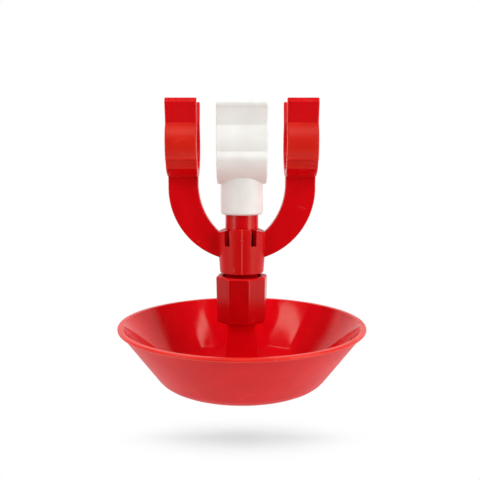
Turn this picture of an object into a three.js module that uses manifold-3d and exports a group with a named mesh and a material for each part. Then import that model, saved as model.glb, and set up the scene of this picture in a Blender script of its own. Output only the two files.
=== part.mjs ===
// Hanging cup drinker for poultry. A white saddle clip takes in the water, a red yoke with two more
// clips steadies it, and a bowl hung on a spring shuts its own valve as it fills.
// Millimetres, +Z up, front towards -Y. The origin is on the axis of the clips' bores, mid-saddle.

import * as THREE from 'three';
import { mergeVertices } from 'three/addons/utils/BufferGeometryUtils.js';
import Module from 'manifold-3d';

const wasm = await Module();
wasm.setup();

// Driving dimensions: fits
const SEAT_GAP = 0.3; // left between a piece and the face that it rests on
const SLIDE_FIT = 0.25; // on the radius, between pieces that slip or screw over each other

// Clips
const SUPPLY_DIAMETER = 25; // round that the clips snap over
const CLIP_PLAY = 0.15; // on the radius
const LIP_LEAN = 13.3; // degrees that the lips flare outwards
const LIP_THICKNESS = 2.4;

// Saddle clip
const SADDLE_WIDTH = 23.9;
const SADDLE_JAW_WALL = 2.95;
const SADDLE_WRAP = 33; // degrees that the jaws reach above the bore's axis
const SADDLE_BASE_WALL = 4.35;
const SADDLE_BASE_DROP = 2.2; // of the base's centre below the bore's axis
const LEDGE_TOP = 3.7; // below the bore's axis, where the jaw meets the base
const LEDGE_BOTTOM = 6.7;
const SADDLE_LIP_LENGTH = 10.9;
const LIP_BEAD_HEIGHT = 2.4;
const LIP_BEAD_PROUD = 0.6;
const LIP_BEAD_ROUND = 0.9;
const POCKET_RADIUS = 6; // for the gasket
const POCKET_DEPTH = 3.35;
const SADDLE_FLOOR = 4; // between gasket pocket and spigot bore
const NOZZLE_RADIUS = 3.3;
const NOZZLE_TIP_RADIUS = 2.8;
const NOZZLE_RISE = 6.2; // above the pocket's floor
const PASSAGE_RADIUS = 2;
const SPIGOT_DEPTH = 13.9; // of its bore
const SPIGOT_WALL = 2;
const SPIGOT_ROUND = 1.3;

// Gasket and seal
const GASKET_PROUD = 0.3; // into the clip's bore
const SEAL_THICKNESS = 1.8;
const SEAL_HOLE_RADIUS = 3.2;

// Yoke
const CLIP_SPACING = 56.7; // between the middles of the two red clips
const CLIP_WIDTH = 14.8;
const CLIP_JAW_WALL = 3;
const CLIP_WRAP = 38; // degrees that the jaws reach above the bore's axis
const CLIP_BASE_WALL = 3.55;
const CLIP_LIP_LENGTH = 11.2;
const LIP_CHAMFER_LENGTH = 1.3; // along the lip's outer face
const LIP_CHAMFER_DEPTH = 1.85; // across the lip's end
const BEAD_ANGLES = [45.7, 27]; // degrees below the bore's axis
const BEAD_RADIUS = 1;
const BEAD_SINK = 0.4; // of the bead's centre below the jaw's surface
const ARM_WIDTH = 14.4;
const ARM_THICKNESS = 5.6;
const ARM_ABOVE_COLLAR_FOOT = 5.75; // lowest point of the arms' outer bend
const ARM_BEND_START = 19; // of the inner bend, below the bore's axis
const ARM_INNER_BEND = 32.5; // its radius
const COLLAR_HEIGHT = 21.3;
const COLLAR_WALL_TOP = 3.8;
const COLLAR_WALL_BOTTOM = 1.85;
const COLLAR_SEAT_HEIGHT = 5.4; // of the inner shoulder above the collar's foot
const FINGER_CROWN = 0.7; // rise of the front and back fingers' tips in their middle
const SLOT_ANGLE = 33.5; // degrees either side of the fingers' middles
const FINGER_TURN = -4; // degrees from the front to the front finger's middle
const SLOT_WIDTH = 2.8;
const SLOT_DEPTH = 7.6;
const SNAP_DROP = 1.6; // of the fingers' snap bead below the collar's top
const SNAP_HEIGHT = 1.2;
const SNAP_BITE = 0.45; // of the snap bead into the valve body's groove

// Valve body
const TUBE_DIAMETER = 16.1;
const TUBE_SHOWING = 7.2; // between spigot and collar
const THREAD_STEP = 0.55; // of the threaded end over the tube, on the radius
const FILTER_WALL = 2.05;
const CHAMBER_WALL = 2.85;
const SPRING_BORE_WALL = 2.05;
const WEB_ABOVE_COLLAR = 1.1;
const WEB_THICKNESS = 4;
const SEAT_HEIGHT = 0.8;
const SEAT_WALL = 1;

// Inlet filter
const FILTER_THICKNESS = 1.2;
const FILTER_HOLE_RADIUS = 0.75;
const FILTER_HOLES = 6; // round the one in the middle
const FILTER_RING_RADIUS = 3.1;

// Pin and what it carries
const PIN_RADIUS = 1.5;
const VALVE_LIFT = 2.7; // of the bowl and its valve, from open to shut
const SHUT_CLEARANCE = 0.1; // left over the seat when shut
const ORIFICE_GAP = 1.1; // for the water round the pin
const PIN_STEP = 0.6; // of the pin's collar over the pin, on the radius
const PIN_STEP_HEIGHT = 1;
const WASHER_THICKNESS = 2;
const WASHER_WATER_GAP = 0.8; // between valve washer and chamber
const HEAD_MARGIN = 0.8; // of the valve washer beyond the pin's head
const HEAD_HEIGHT = 1.8;
const CAP_PLAY = 0.4; // in the spring's bore, on the radius
const CAP_THICKNESS = 2;
const CAP_NOTCHES = 4;
const CAP_NOTCH_WIDTH = 2.6;
const CAP_HUB_WALL = 0.6;
const PIN_WASHER_RADIUS = 3.5;
const PIN_WASHER_THICKNESS = 0.5;
const PIN_NUT_SIDES = 6;
const PIN_NUT_FLATS = 5.5;
const PIN_NUT_HEIGHT = 2.4;
const PIN_FIT = 0.15; // on the radius, of washers and nut on the pin
const PIN_TAIL = 1.3; // of the pin below its nut

// Spring and slip washer
const WIRE_DIAMETER = 0.7;
const SPRING_CLEARANCE = 0.75; // between coils and bore
const SPRING_TURNS = 9;
const SPRING_END_PITCH = 1.3; // of the first and last turn
const SLIP_THICKNESS = 0.8;
const SLIP_MARGIN = 0.45; // beyond the spring, on the radius
const SLIP_WATER_GAP = 1.4; // round the pin

// Adjusting nut
const NUT_GAP = 1.8; // below the collar
const NUT_HEIGHT = 23;
const NUT_SIDES = 8;
const NUT_TURN = 14.5; // degrees from the front to the first corner
const NUT_WALL = 3.25; // from bore to flat, at the top
const NUT_SKIRT_WALL = 2.15; // from recess to flat, at the bottom
const NUT_THREAD_DEPTH = 11.8;
const NUT_FLANGE = 2.5;
const NUT_TOP_ROUND = 0.4;
const NUT_FOOT_ROUND = 1.4;
const BODY_CLEARANCE = 3; // between the valve body's end and the nut's flange
const FLANGE_WATER_GAP = 1.7; // round the pin
const POST_CLEARANCE = 1.5; // between the nut's flange and the post
const SKIRT_CLEARANCE = 0.6; // round the post's corners

// Bowl
const RIM_RADIUS = 61.25;
const RIM_DROP = 1.1; // below the nut
const RIM_BAND = 1.65; // height of the band round the rim's outside
const RIM_STEP = 1.35; // from the band in to the wall under it
const RIM_ROUND = 0.75;
const RIM_ROUND_SHARE = 0.45; // of the wall or the band, at most
const BOWL_HEIGHT = 29.7;
const BOWL_WALL = 2;
const BOWL_WALL_ANGLE = 53.2; // degrees from level
const BOWL_CORNER_ROUND = 11.2; // outside, between wall and base
const BOWL_FLOOR_ROUND = 12.5; // inside
const POST_WIDTH = 13.2; // at its top
const POST_DEPTH = 12;
const POST_DRAFT = 0.0505; // each side's lean, per millimetre of height
const POST_CORNER = 1.2;
const POST_WALL = 2;

// Fineness of round forms
const ROUND = 40;
const SMALL_ROUND = 8;
const BOWL_ROUND = 72;
const WIRE_SIDES = 5;
const TURN_STEPS = 8; // along one turn of the spring
const ARC_STEPS = 12;
const CORNER_STEPS = 4;
const WELD = 1e-4;

// Sizes that follow
const clipRadius = SUPPLY_DIAMETER / 2 + CLIP_PLAY;
const tubeRadius = TUBE_DIAMETER / 2;
const threadRadius = tubeRadius + THREAD_STEP;
const tubeBore = tubeRadius + SLIDE_FIT;
const threadBore = threadRadius + SLIDE_FIT;
const spigotRadius = tubeBore + SPIGOT_WALL;
const chamberRadius = tubeRadius - CHAMBER_WALL;
const springBore = tubeRadius - SPRING_BORE_WALL;
const filterPocket = tubeRadius - FILTER_WALL;
const orificeRadius = PIN_RADIUS + ORIFICE_GAP;
const pinHole = PIN_RADIUS + PIN_FIT;
const washerRadius = chamberRadius - WASHER_WATER_GAP;
const capRadius = springBore - CAP_PLAY;
const coilRadius = springBore - SPRING_CLEARANCE - WIRE_DIAMETER / 2;

// Levels that follow, from the top down
const pocketFloor = -(clipRadius + POCKET_DEPTH);
const boreEnd = pocketFloor - SADDLE_FLOOR;
const spigotFoot = boreEnd - SPIGOT_DEPTH;
const tubeTop = boreEnd - SEAL_THICKNESS - 2 * SEAT_GAP;
const filterFloor = tubeTop - FILTER_THICKNESS - 2 * SEAT_GAP;
const collarTop = spigotFoot - TUBE_SHOWING;
const collarFoot = collarTop - COLLAR_HEIGHT;
const collarSeat = collarFoot + COLLAR_SEAT_HEIGHT;
const snapLevel = collarTop - SNAP_DROP;
const webTop = collarTop + WEB_ABOVE_COLLAR;
const webFoot = webTop - WEB_THICKNESS;
const seatTop = webTop + SEAT_HEIGHT;
const washerFoot = seatTop + VALVE_LIFT + SHUT_CLEARANCE;
const headFoot = washerFoot + WASHER_THICKNESS;
const capTop = webFoot - SEAT_GAP;
const capFoot = capTop - CAP_THICKNESS;
const nutTop = collarFoot - NUT_GAP;
const nutFoot = nutTop - NUT_HEIGHT;
const flangeTop = nutTop - NUT_THREAD_DEPTH;
const flangeFoot = flangeTop - NUT_FLANGE;
const bodyFoot = flangeTop + BODY_CLEARANCE;
const slipFoot = flangeTop + SEAT_GAP;
const slipTop = slipFoot + SLIP_THICKNESS;
const postTop = flangeFoot - POST_CLEARANCE;
const plateFoot = postTop - POST_WALL;
const pinWasherFoot = plateFoot - SEAT_GAP - PIN_WASHER_THICKNESS;
const pinNutFoot = pinWasherFoot - SEAT_GAP - PIN_NUT_HEIGHT;
const pinFoot = pinNutFoot - PIN_TAIL;
const rimTop = nutFoot - RIM_DROP;
const bowlFoot = rimTop - BOWL_HEIGHT;
const bowlFloor = bowlFoot + BOWL_WALL;

// Finishes
const RED_PLASTIC = { color: 0xc8141c, roughness: 0.32, metalness: 0 };
const WHITE_PLASTIC = { color: 0xefeae6, roughness: 0.4, metalness: 0 };
const BLACK_RUBBER = { color: 0x262626, roughness: 0.8, metalness: 0 };
const STEEL = { color: 0xb9bcc0, roughness: 0.3, metalness: 1 };

const radians = THREE.MathUtils.degToRad;
const degrees = THREE.MathUtils.radToDeg;

// Points of an arc about (x, y), between two angles in degrees.
function arc(x, y, radius, from, to, steps = ARC_STEPS) {
  return Array.from({ length: steps + 1 }, (_, i) => {
    const angle = radians(from + (to - from) * i / steps);
    return [x + radius * Math.cos(angle), y + radius * Math.sin(angle)];
  });
}

// Corners of a regular polygon about (x, y), which also serves as a round.
function polygon(x, y, radius, sides) {
  return arc(x, y, radius, 0, 360 - 360 / sides, sides - 1);
}

// Outline through corners [x, y, radius], with a tangent arc at each corner that has a radius.
function outline(corners) {
  return corners.flatMap(([x, y, radius = 0], i) => {
    const corner = new THREE.Vector2(x, y);
    if (radius === 0) return [corner];
    const neighbours = [corners.at(i - 1), corners[(i + 1) % corners.length]];
    const [back, ahead] = neighbours.map(([u, v]) => new THREE.Vector2(u - x, v - y).normalize());
    const half = Math.acos(back.dot(ahead)) / 2;
    const reach = radius / Math.tan(half);
    const middle = back.clone().add(ahead).setLength(radius / Math.sin(half));
    const first = back.multiplyScalar(reach).sub(middle).angle();
    const last = ahead.multiplyScalar(reach).sub(middle).angle();
    const sweep = THREE.MathUtils.euclideanModulo(last - first + Math.PI, 2 * Math.PI) - Math.PI;
    const centre = corner.add(middle);
    const bend = arc(centre.x, centre.y, radius, degrees(first), degrees(first + sweep), CORNER_STEPS);
    return bend.map(([u, v]) => new THREE.Vector2(u, v));
  });
}

// Solid within a closed geometry, with shared corners welded.
function solid(geometry) {
  const bare = new THREE.BufferGeometry();
  bare.setAttribute('position', geometry.getAttribute('position'));
  bare.setIndex(geometry.getIndex());
  const welded = mergeVertices(bare, WELD);
  const index = welded.getIndex().array;
  const triVerts = [];
  for (let i = 0; i < index.length; i += 3) {
    const [a, b, c] = index.slice(i, i + 3);
    if (a !== b && b !== c && c !== a) triVerts.push(a, b, c);
  }
  const vertProperties = welded.getAttribute('position').array;
  return new wasm.Manifold(
    new wasm.Mesh({ numProp: 3, vertProperties, triVerts: new Uint32Array(triVerts) }));
}

// Turned solid from a profile of corners [radius, z], drawn upwards on its outside. A profile that
// is off the axis is a ring. Angles start at the front and go towards +X.
function revolve(corners, segments = ROUND, turn = 0) {
  const profile = outline(corners);
  if (profile[0].x > 0) profile.push(profile[0].clone());
  return solid(new THREE.LatheGeometry(profile, segments, radians(turn)).rotateX(Math.PI / 2));
}

function rod(radius, from, to, segments = ROUND) {
  return revolve([[0, from], [radius, from], [radius, to], [0, to]], segments);
}

function ring(inner, outer, from, to, segments = ROUND) {
  return revolve([[inner, from], [outer, from], [outer, to], [inner, to]], segments);
}

const ALONG_X = new THREE.Matrix4().makeBasis(
  new THREE.Vector3(0, 1, 0), new THREE.Vector3(0, 0, 1), new THREE.Vector3(1, 0, 0));
const ALONG_Y = new THREE.Matrix4().makeBasis(
  new THREE.Vector3(-1, 0, 0), new THREE.Vector3(0, 0, 1), new THREE.Vector3(0, 1, 0));
const ALONG_Z = new THREE.Matrix4();

// Solid of one section from one place to another along an axis. The section is drawn in (y, z)
// along X, in (-x, z) along Y and in (x, y) along Z.
function prism(corners, axis, from, to, holes = []) {
  const shape = new THREE.Shape(outline(corners));
  shape.holes = holes.map((hole) => new THREE.Path(outline(hole)));
  const geometry = new THREE.ExtrudeGeometry(shape, { depth: to - from, bevelEnabled: false });
  return solid(geometry.translate(0, 0, from).applyMatrix4(axis));
}

// Solid that narrows evenly between two level outlines with the same number of points.
function taperedPost(width, depth, corner, draft, foot, top) {
  const level = (z) => {
    const x = width / 2 + draft * (top - z);
    const y = depth / 2 + draft * (top - z);
    const corners = [[x, -y, corner], [x, y, corner], [-x, y, corner], [-x, -y, corner]];
    return outline(corners).map((point) => new THREE.Vector3(point.x, point.y, z));
  };
  const lower = level(foot);
  const upper = level(top);
  const count = lower.length;
  const index = [];
  for (let i = 0; i < count; i++) {
    const next = (i + 1) % count;
    index.push(i, next, count + next, i, count + next, count + i);
    if (i > 1) index.push(0, i, i - 1, count, count + i - 1, count + i);
  }
  const geometry = new THREE.BufferGeometry().setFromPoints([...lower, ...upper]);
  geometry.setIndex(index);
  return solid(geometry);
}

function piece(name, body, finish) {
  const { vertProperties, triVerts } = body.getMesh();
  const geometry = new THREE.BufferGeometry();
  geometry.setAttribute('position', new THREE.BufferAttribute(vertProperties, 3));
  geometry.setIndex(new THREE.BufferAttribute(triVerts, 1));
  geometry.computeVertexNormals();
  const mesh = new THREE.Mesh(geometry, new THREE.MeshStandardMaterial(finish));
  mesh.name = name;
  return mesh;
}

// Whole section of a clip from the half that runs from the bottom of its base, up the outside, over
// the lip and down the bore.
function clipSection(base, jawRadius, jawStart, wrap, nose) {
  const [creaseY, creaseZ] = arc(0, 0, jawRadius, wrap, wrap, 1)[0];
  const lean = radians(LIP_LEAN);
  const onLip = ([along, across, round = 0]) => [
    creaseY + along * Math.sin(lean) + across * Math.cos(lean),
    creaseZ + along * Math.cos(lean) - across * Math.sin(lean),
    round,
  ];
  const throat = onLip([0, -LIP_THICKNESS]);
  const boreStart = degrees(Math.acos(throat[0] / clipRadius));
  const half = [
    ...base,
    ...arc(0, 0, jawRadius, jawStart, wrap),
    ...nose.map(onLip),
    throat,
    ...arc(0, 0, clipRadius, boreStart, -90, 2 * ARC_STEPS),
  ];
  const other = half.slice(1, -1).reverse().map(([y, z, round]) => [-y, z, round]);
  return [...half, ...other];
}

function saddleClip() {
  const baseRadius = clipRadius + SADDLE_BASE_WALL;
  const jawRadius = clipRadius + SADDLE_JAW_WALL;
  const baseEnd = -degrees(Math.asin((LEDGE_BOTTOM - SADDLE_BASE_DROP) / baseRadius));
  const jawStart = -degrees(Math.asin(LEDGE_TOP / jawRadius));
  const beadFoot = SADDLE_LIP_LENGTH - LIP_BEAD_HEIGHT;
  const section = clipSection(
    arc(0, -SADDLE_BASE_DROP, baseRadius, -90, baseEnd),
    jawRadius,
    jawStart,
    SADDLE_WRAP,
    [
      [beadFoot, 0],
      [beadFoot, LIP_BEAD_PROUD, LIP_BEAD_PROUD / 2],
      [SADDLE_LIP_LENGTH, LIP_BEAD_PROUD, LIP_BEAD_ROUND],
      [SADDLE_LIP_LENGTH, -LIP_THICKNESS, LIP_BEAD_ROUND],
    ],
  );
  const spigot = revolve([
    [0, spigotFoot],
    [spigotRadius, spigotFoot, SPIGOT_ROUND],
    [spigotRadius, pocketFloor],
    [0, pocketFloor],
  ]);
  const nozzle = revolve([
    [0, boreEnd],
    [NOZZLE_RADIUS, boreEnd],
    [NOZZLE_RADIUS, -clipRadius],
    [NOZZLE_TIP_RADIUS, pocketFloor + NOZZLE_RISE],
    [0, pocketFloor + NOZZLE_RISE],
  ]);
  return prism(section, ALONG_X, -SADDLE_WIDTH / 2, SADDLE_WIDTH / 2)
    .add(spigot)
    .subtract(rod(POCKET_RADIUS, pocketFloor, 0))
    .add(nozzle)
    .subtract(rod(PASSAGE_RADIUS, boreEnd - SEAT_GAP, 0))
    .subtract(rod(tubeBore, spigotFoot - SEAT_GAP, boreEnd));
}

// Ring that fills the pocket round the nozzle, hollowed on top to the curve of the clip's bore.
function saddleGasket() {
  const blank = ring(NOZZLE_RADIUS + SEAT_GAP, POCKET_RADIUS - SEAT_GAP, pocketFloor + SEAT_GAP, 0);
  const curve = polygon(0, 0, clipRadius - GASKET_PROUD, ROUND);
  return blank.subtract(prism(curve, ALONG_X, -POCKET_RADIUS, POCKET_RADIUS));
}

function spigotSeal() {
  const top = boreEnd - SEAT_GAP;
  return ring(SEAL_HOLE_RADIUS, tubeRadius, top - SEAL_THICKNESS, top);
}

function inletFilter() {
  const disc = polygon(0, 0, filterPocket - SEAT_GAP, ROUND);
  const hole = (x, y) => polygon(x, y, FILTER_HOLE_RADIUS, SMALL_ROUND);
  const around = polygon(0, 0, FILTER_RING_RADIUS, FILTER_HOLES).map(([x, y]) => hole(x, y));
  const foot = filterFloor + SEAT_GAP;
  return prism(disc, ALONG_Z, foot, foot + FILTER_THICKNESS, [hole(0, 0), ...around]);
}

// Tube with the filter's pocket, the valve chamber, the raised seat and the spring's bore inside it,
// and the snap groove and the wider threaded end outside.
function valveBody() {
  const grooveTop = snapLevel + SNAP_HEIGHT / 2 + SEAT_GAP;
  const grooveFoot = snapLevel - SNAP_HEIGHT / 2 - SEAT_GAP;
  const grooveRadius = tubeRadius - SNAP_BITE - SEAT_GAP;
  const shoulder = collarSeat - SEAT_GAP;
  return revolve([
    [springBore, bodyFoot],
    [threadRadius, bodyFoot],
    [threadRadius, shoulder],
    [tubeRadius, shoulder],
    [tubeRadius, grooveFoot],
    [grooveRadius, grooveFoot],
    [grooveRadius, grooveTop],
    [tubeRadius, grooveTop],
    [tubeRadius, tubeTop],
    [filterPocket, tubeTop],
    [filterPocket, filterFloor],
    [chamberRadius, filterFloor],
    [chamberRadius, webTop],
    [orificeRadius + SEAT_WALL, webTop],
    [orificeRadius + SEAT_WALL, seatTop],
    [orificeRadius, seatTop],
    [orificeRadius, webFoot],
    [springBore, webFoot],
  ]);
}

// Section of a red clip: a thicker base, two round beads below the jaw, and a chamfered lip.
function yokeClip(from, to) {
  const jawRadius = clipRadius + CLIP_JAW_WALL;
  const baseRadius = clipRadius + CLIP_BASE_WALL;
  const beadCentre = jawRadius - BEAD_SINK;
  const beadSpan = (radius) => {
    const cosine = (radius ** 2 + beadCentre ** 2 - BEAD_RADIUS ** 2) / (2 * radius * beadCentre);
    return degrees(Math.acos(cosine));
  };
  const bead = (angle, lowerRadius, upperRadius) => {
    const [y, z] = arc(0, 0, beadCentre, -angle, -angle, 1)[0];
    const direction = (radius, side) => {
      const [endY, endZ] = arc(0, 0, radius, -angle + side * beadSpan(radius), 0, 1)[0];
      return degrees(Math.atan2(endZ - z, endY - y));
    };
    return arc(y, z, BEAD_RADIUS, direction(lowerRadius, -1), direction(upperRadius, 1), 2 * CORNER_STEPS);
  };
  const [low, high] = BEAD_ANGLES;
  const base = [
    ...arc(0, 0, baseRadius, -90, -low - beadSpan(baseRadius)).slice(0, -1),
    ...bead(low, baseRadius, jawRadius),
    ...bead(high, jawRadius, jawRadius).slice(0, -1),
  ];
  const nose = [
    [CLIP_LIP_LENGTH - LIP_CHAMFER_LENGTH, 0],
    [CLIP_LIP_LENGTH, -LIP_CHAMFER_DEPTH],
    [CLIP_LIP_LENGTH, -LIP_THICKNESS],
  ];
  const section = clipSection(base, jawRadius, -high + beadSpan(jawRadius), CLIP_WRAP, nose);
  return prism(section, ALONG_X, from, to);
}

// The two arms as one flat U, from clip to clip under the saddle.
function yokeArms() {
  const outer = (CLIP_SPACING + ARM_WIDTH) / 2;
  const inner = (CLIP_SPACING - ARM_WIDTH) / 2;
  const outerCentre = collarFoot + ARM_ABOVE_COLLAR_FOOT + outer;
  const bendCentre = inner - ARM_INNER_BEND;
  const bendEnd = degrees(Math.acos((tubeBore + COLLAR_WALL_TOP / 2 - bendCentre) / ARM_INNER_BEND));
  const bend = arc(bendCentre, -ARM_BEND_START, ARM_INNER_BEND, 0, -bendEnd);
  const section = [
    [-outer, 0],
    ...arc(0, outerCentre, outer, 180, 360, 2 * ARC_STEPS),
    [outer, 0],
    [inner, 0],
    ...bend,
    ...bend.toReversed().map(([x, z]) => [-x, z]),
    [-inner, 0],
  ];
  return prism(section, ALONG_Y, -ARM_THICKNESS / 2, ARM_THICKNESS / 2);
}

// Sleeve round the valve body, whose front and back fingers stand free between four slots.
function yokeCollar() {
  const footRadius = threadBore + COLLAR_WALL_BOTTOM;
  const topRadius = tubeBore + COLLAR_WALL_TOP;
  const crownTop = collarTop + FINGER_CROWN;
  const sleeve = revolve([[0, collarFoot], [footRadius, collarFoot], [topRadius, crownTop], [0, crownTop]]);
  const fingerHalf = topRadius * Math.sin(radians(SLOT_ANGLE));
  const crownRadius = fingerHalf ** 2 / (2 * FINGER_CROWN);
  const reach = topRadius + SEAT_GAP;
  const crownHalf = degrees(Math.asin(reach / crownRadius));
  const crown = [
    ...arc(0, crownTop - crownRadius, crownRadius, 90 - crownHalf, 90 + crownHalf),
    [-reach, collarFoot - SEAT_GAP],
    [reach, collarFoot - SEAT_GAP],
  ];
  return sleeve.intersect(prism(crown, ALONG_Y, -reach, reach));
}

function collarSlot(angle) {
  const across = SLOT_WIDTH / 2;
  const reach = 2 * tubeBore;
  const corners = [[-across, -reach], [across, -reach], [across, 0], [-across, 0]];
  const turned = corners.map(([x, y]) => {
    const point = new THREE.Vector2(x, y).rotateAround(new THREE.Vector2(), radians(angle));
    return [point.x, point.y];
  });
  return prism(turned, ALONG_Z, collarTop - SLOT_DEPTH, collarTop + 2 * FINGER_CROWN);
}

function yoke() {
  const near = (CLIP_SPACING - CLIP_WIDTH) / 2;
  const far = (CLIP_SPACING + CLIP_WIDTH) / 2;
  const span = polygon(0, 0, clipRadius, 2 * ARC_STEPS);
  const snapRadius = tubeRadius - SNAP_BITE;
  const bore = revolve([
    [0, collarFoot - SEAT_GAP],
    [threadBore, collarFoot - SEAT_GAP],
    [threadBore, collarSeat],
    [tubeBore, collarSeat],
    [tubeBore, snapLevel - SNAP_HEIGHT / 2],
    [snapRadius, snapLevel - SNAP_HEIGHT / 4],
    [snapRadius, snapLevel + SNAP_HEIGHT / 4],
    [tubeBore, snapLevel + SNAP_HEIGHT / 2],
    [tubeBore, collarTop + 2 * FINGER_CROWN],
    [0, collarTop + 2 * FINGER_CROWN],
  ]);
  let body = yokeArms()
    .subtract(prism(span, ALONG_X, -2 * far, 2 * far))
    .add(yokeClip(-far, -near))
    .add(yokeClip(near, far))
    .add(yokeCollar())
    .subtract(bore);
  for (const angle of [SLOT_ANGLE, -SLOT_ANGLE, 180 + SLOT_ANGLE, 180 - SLOT_ANGLE]) {
    body = body.subtract(collarSlot(FINGER_TURN + angle));
  }
  return body;
}

// Headed pin with a small collar that the spring's cap pushes up against.
function valvePin() {
  const stepFoot = capTop + SEAT_GAP;
  return revolve([
    [0, pinFoot],
    [PIN_RADIUS, pinFoot, PIN_RADIUS / 4],
    [PIN_RADIUS, stepFoot],
    [PIN_RADIUS + PIN_STEP, stepFoot],
    [PIN_RADIUS + PIN_STEP, stepFoot + PIN_STEP_HEIGHT],
    [PIN_RADIUS, stepFoot + PIN_STEP_HEIGHT],
    [PIN_RADIUS, headFoot + PIN_FIT],
    [washerRadius - HEAD_MARGIN, headFoot + PIN_FIT],
    [washerRadius - HEAD_MARGIN, headFoot + PIN_FIT + HEAD_HEIGHT, HEAD_HEIGHT / 2],
    [0, headFoot + PIN_FIT + HEAD_HEIGHT],
  ], ROUND / 2);
}

function valveWasher() {
  return ring(pinHole, washerRadius, washerFoot, headFoot);
}

// Disc with deep notches, so that water passes from the orifice into the spring's bore.
function springCap() {
  let body = ring(pinHole, capRadius, capFoot, capTop);
  const across = CAP_NOTCH_WIDTH / 2;
  const inner = pinHole + CAP_HUB_WALL;
  for (let i = 0; i < CAP_NOTCHES; i++) {
    const corners = [[inner, -across], [2 * capRadius, -across], [2 * capRadius, across], [inner, across]];
    const turned = corners.map(([x, y]) => {
      const point = new THREE.Vector2(x, y);
      point.rotateAround(new THREE.Vector2(), 2 * Math.PI * i / CAP_NOTCHES);
      return [point.x, point.y];
    });
    body = body.subtract(prism(turned, ALONG_Z, capFoot - SEAT_GAP, capTop + SEAT_GAP));
  }
  return body;
}

// Compression spring's centre line, with a closer turn at each end.
class SpringLine extends THREE.Curve {
  constructor(foot, top) {
    super();
    this.foot = foot;
    this.top = top;
  }

  getPoint(t, target = new THREE.Vector3()) {
    const turn = t * SPRING_TURNS;
    const pitch = (this.top - this.foot - 2 * SPRING_END_PITCH) / (SPRING_TURNS - 2);
    const ends = Math.min(turn, 1) + Math.max(turn - SPRING_TURNS + 1, 0);
    const middle = THREE.MathUtils.clamp(turn - 1, 0, SPRING_TURNS - 2);
    const angle = 2 * Math.PI * turn;
    const z = this.foot + ends * SPRING_END_PITCH + middle * pitch;
    return target.set(coilRadius * Math.cos(angle), coilRadius * Math.sin(angle), z);
  }
}

function spring() {
  const steps = TURN_STEPS * SPRING_TURNS;
  const wire = WIRE_DIAMETER / 2;
  const line = new SpringLine(slipTop + SEAT_GAP + wire, capFoot - SEAT_GAP - wire);
  const points = line.getSpacedPoints(steps);
  let gap = Infinity;
  points.forEach((point, i) => points.slice(i + 1 + TURN_STEPS / 2).forEach((other) => {
    gap = Math.min(gap, point.distanceTo(other) - WIRE_DIAMETER);
  }));
  console.log(`spring: least gap between its turns ${gap.toFixed(2)} mm`);
  const section = new THREE.Shape(outline(polygon(0, 0, wire, WIRE_SIDES)));
  return solid(new THREE.ExtrudeGeometry(section, { steps, extrudePath: line }));
}

function slipWasher() {
  const outer = coilRadius + WIRE_DIAMETER / 2 + SLIP_MARGIN;
  return ring(PIN_RADIUS + SLIP_WATER_GAP, outer, slipFoot, slipTop);
}

// Reach of the post's rounded corners from the axis, at a level.
function postReach(z) {
  const x = POST_WIDTH / 2 + POST_DRAFT * (postTop - z) - POST_CORNER;
  const y = POST_DEPTH / 2 + POST_DRAFT * (postTop - z) - POST_CORNER;
  return Math.hypot(x, y) + POST_CORNER;
}

// Eight-sided nut: threaded bore above, flange that carries the spring, skirt round the post below.
function adjustingNut() {
  const corner = 1 / Math.cos(Math.PI / NUT_SIDES);
  const recess = postReach(nutFoot) + SKIRT_CLEARANCE;
  const topFlat = threadBore + NUT_WALL;
  const footFlat = recess + NUT_SKIRT_WALL;
  const blank = revolve([
    [0, nutFoot],
    [footFlat * corner, nutFoot, NUT_FOOT_ROUND],
    [topFlat * corner, nutTop, NUT_TOP_ROUND],
    [0, nutTop],
  ], NUT_SIDES, NUT_TURN);
  return blank
    .subtract(rod(threadBore, flangeTop, nutTop + SEAT_GAP))
    .subtract(rod(PIN_RADIUS + FLANGE_WATER_GAP, flangeFoot - SEAT_GAP, flangeTop + SEAT_GAP))
    .subtract(rod(recess, nutFoot - SEAT_GAP, flangeFoot));
}

// Conical bowl with a hollow post that is open underneath, where the pin's nut is reached.
function bowl() {
  const angle = radians(BOWL_WALL_ANGLE);
  const wallAcross = BOWL_WALL / Math.sin(angle);
  const round = Math.min(RIM_ROUND, RIM_ROUND_SHARE * BOWL_WALL, RIM_ROUND_SHARE * RIM_BAND);
  const bandFoot = rimTop - RIM_BAND;
  const wallTop = RIM_RADIUS - RIM_STEP;
  const footCorner = wallTop - (bandFoot - bowlFoot) / Math.tan(angle);
  const floorCorner = footCorner - wallAcross + BOWL_WALL / Math.tan(angle);
  const rimInner = floorCorner + (rimTop - bowlFloor) / Math.tan(angle);
  const shell = revolve([
    [0, bowlFoot],
    [footCorner, bowlFoot, BOWL_CORNER_ROUND],
    [wallTop, bandFoot],
    [RIM_RADIUS, bandFoot, round],
    [RIM_RADIUS, rimTop, round],
    [rimInner, rimTop, round],
    [floorCorner, bowlFloor, BOWL_FLOOR_ROUND],
    [0, bowlFloor],
  ], BOWL_ROUND);
  const post = taperedPost(POST_WIDTH, POST_DEPTH, POST_CORNER, POST_DRAFT, bowlFoot, postTop);
  const innerWidth = POST_WIDTH + 2 * POST_DRAFT * POST_WALL - 2 * POST_WALL;
  const innerDepth = POST_DEPTH + 2 * POST_DRAFT * POST_WALL - 2 * POST_WALL;
  const cavity = taperedPost(
    innerWidth, innerDepth, POST_CORNER / 2, POST_DRAFT, bowlFoot - SEAT_GAP, plateFoot);
  return shell
    .add(post)
    .subtract(cavity)
    .subtract(rod(PIN_RADIUS + SLIDE_FIT, plateFoot - SEAT_GAP, postTop + SEAT_GAP, ROUND / 2));
}

function pinWasher() {
  const top = pinWasherFoot + PIN_WASHER_THICKNESS;
  return ring(pinHole, PIN_WASHER_RADIUS, pinWasherFoot, top, ROUND / 2);
}

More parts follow.
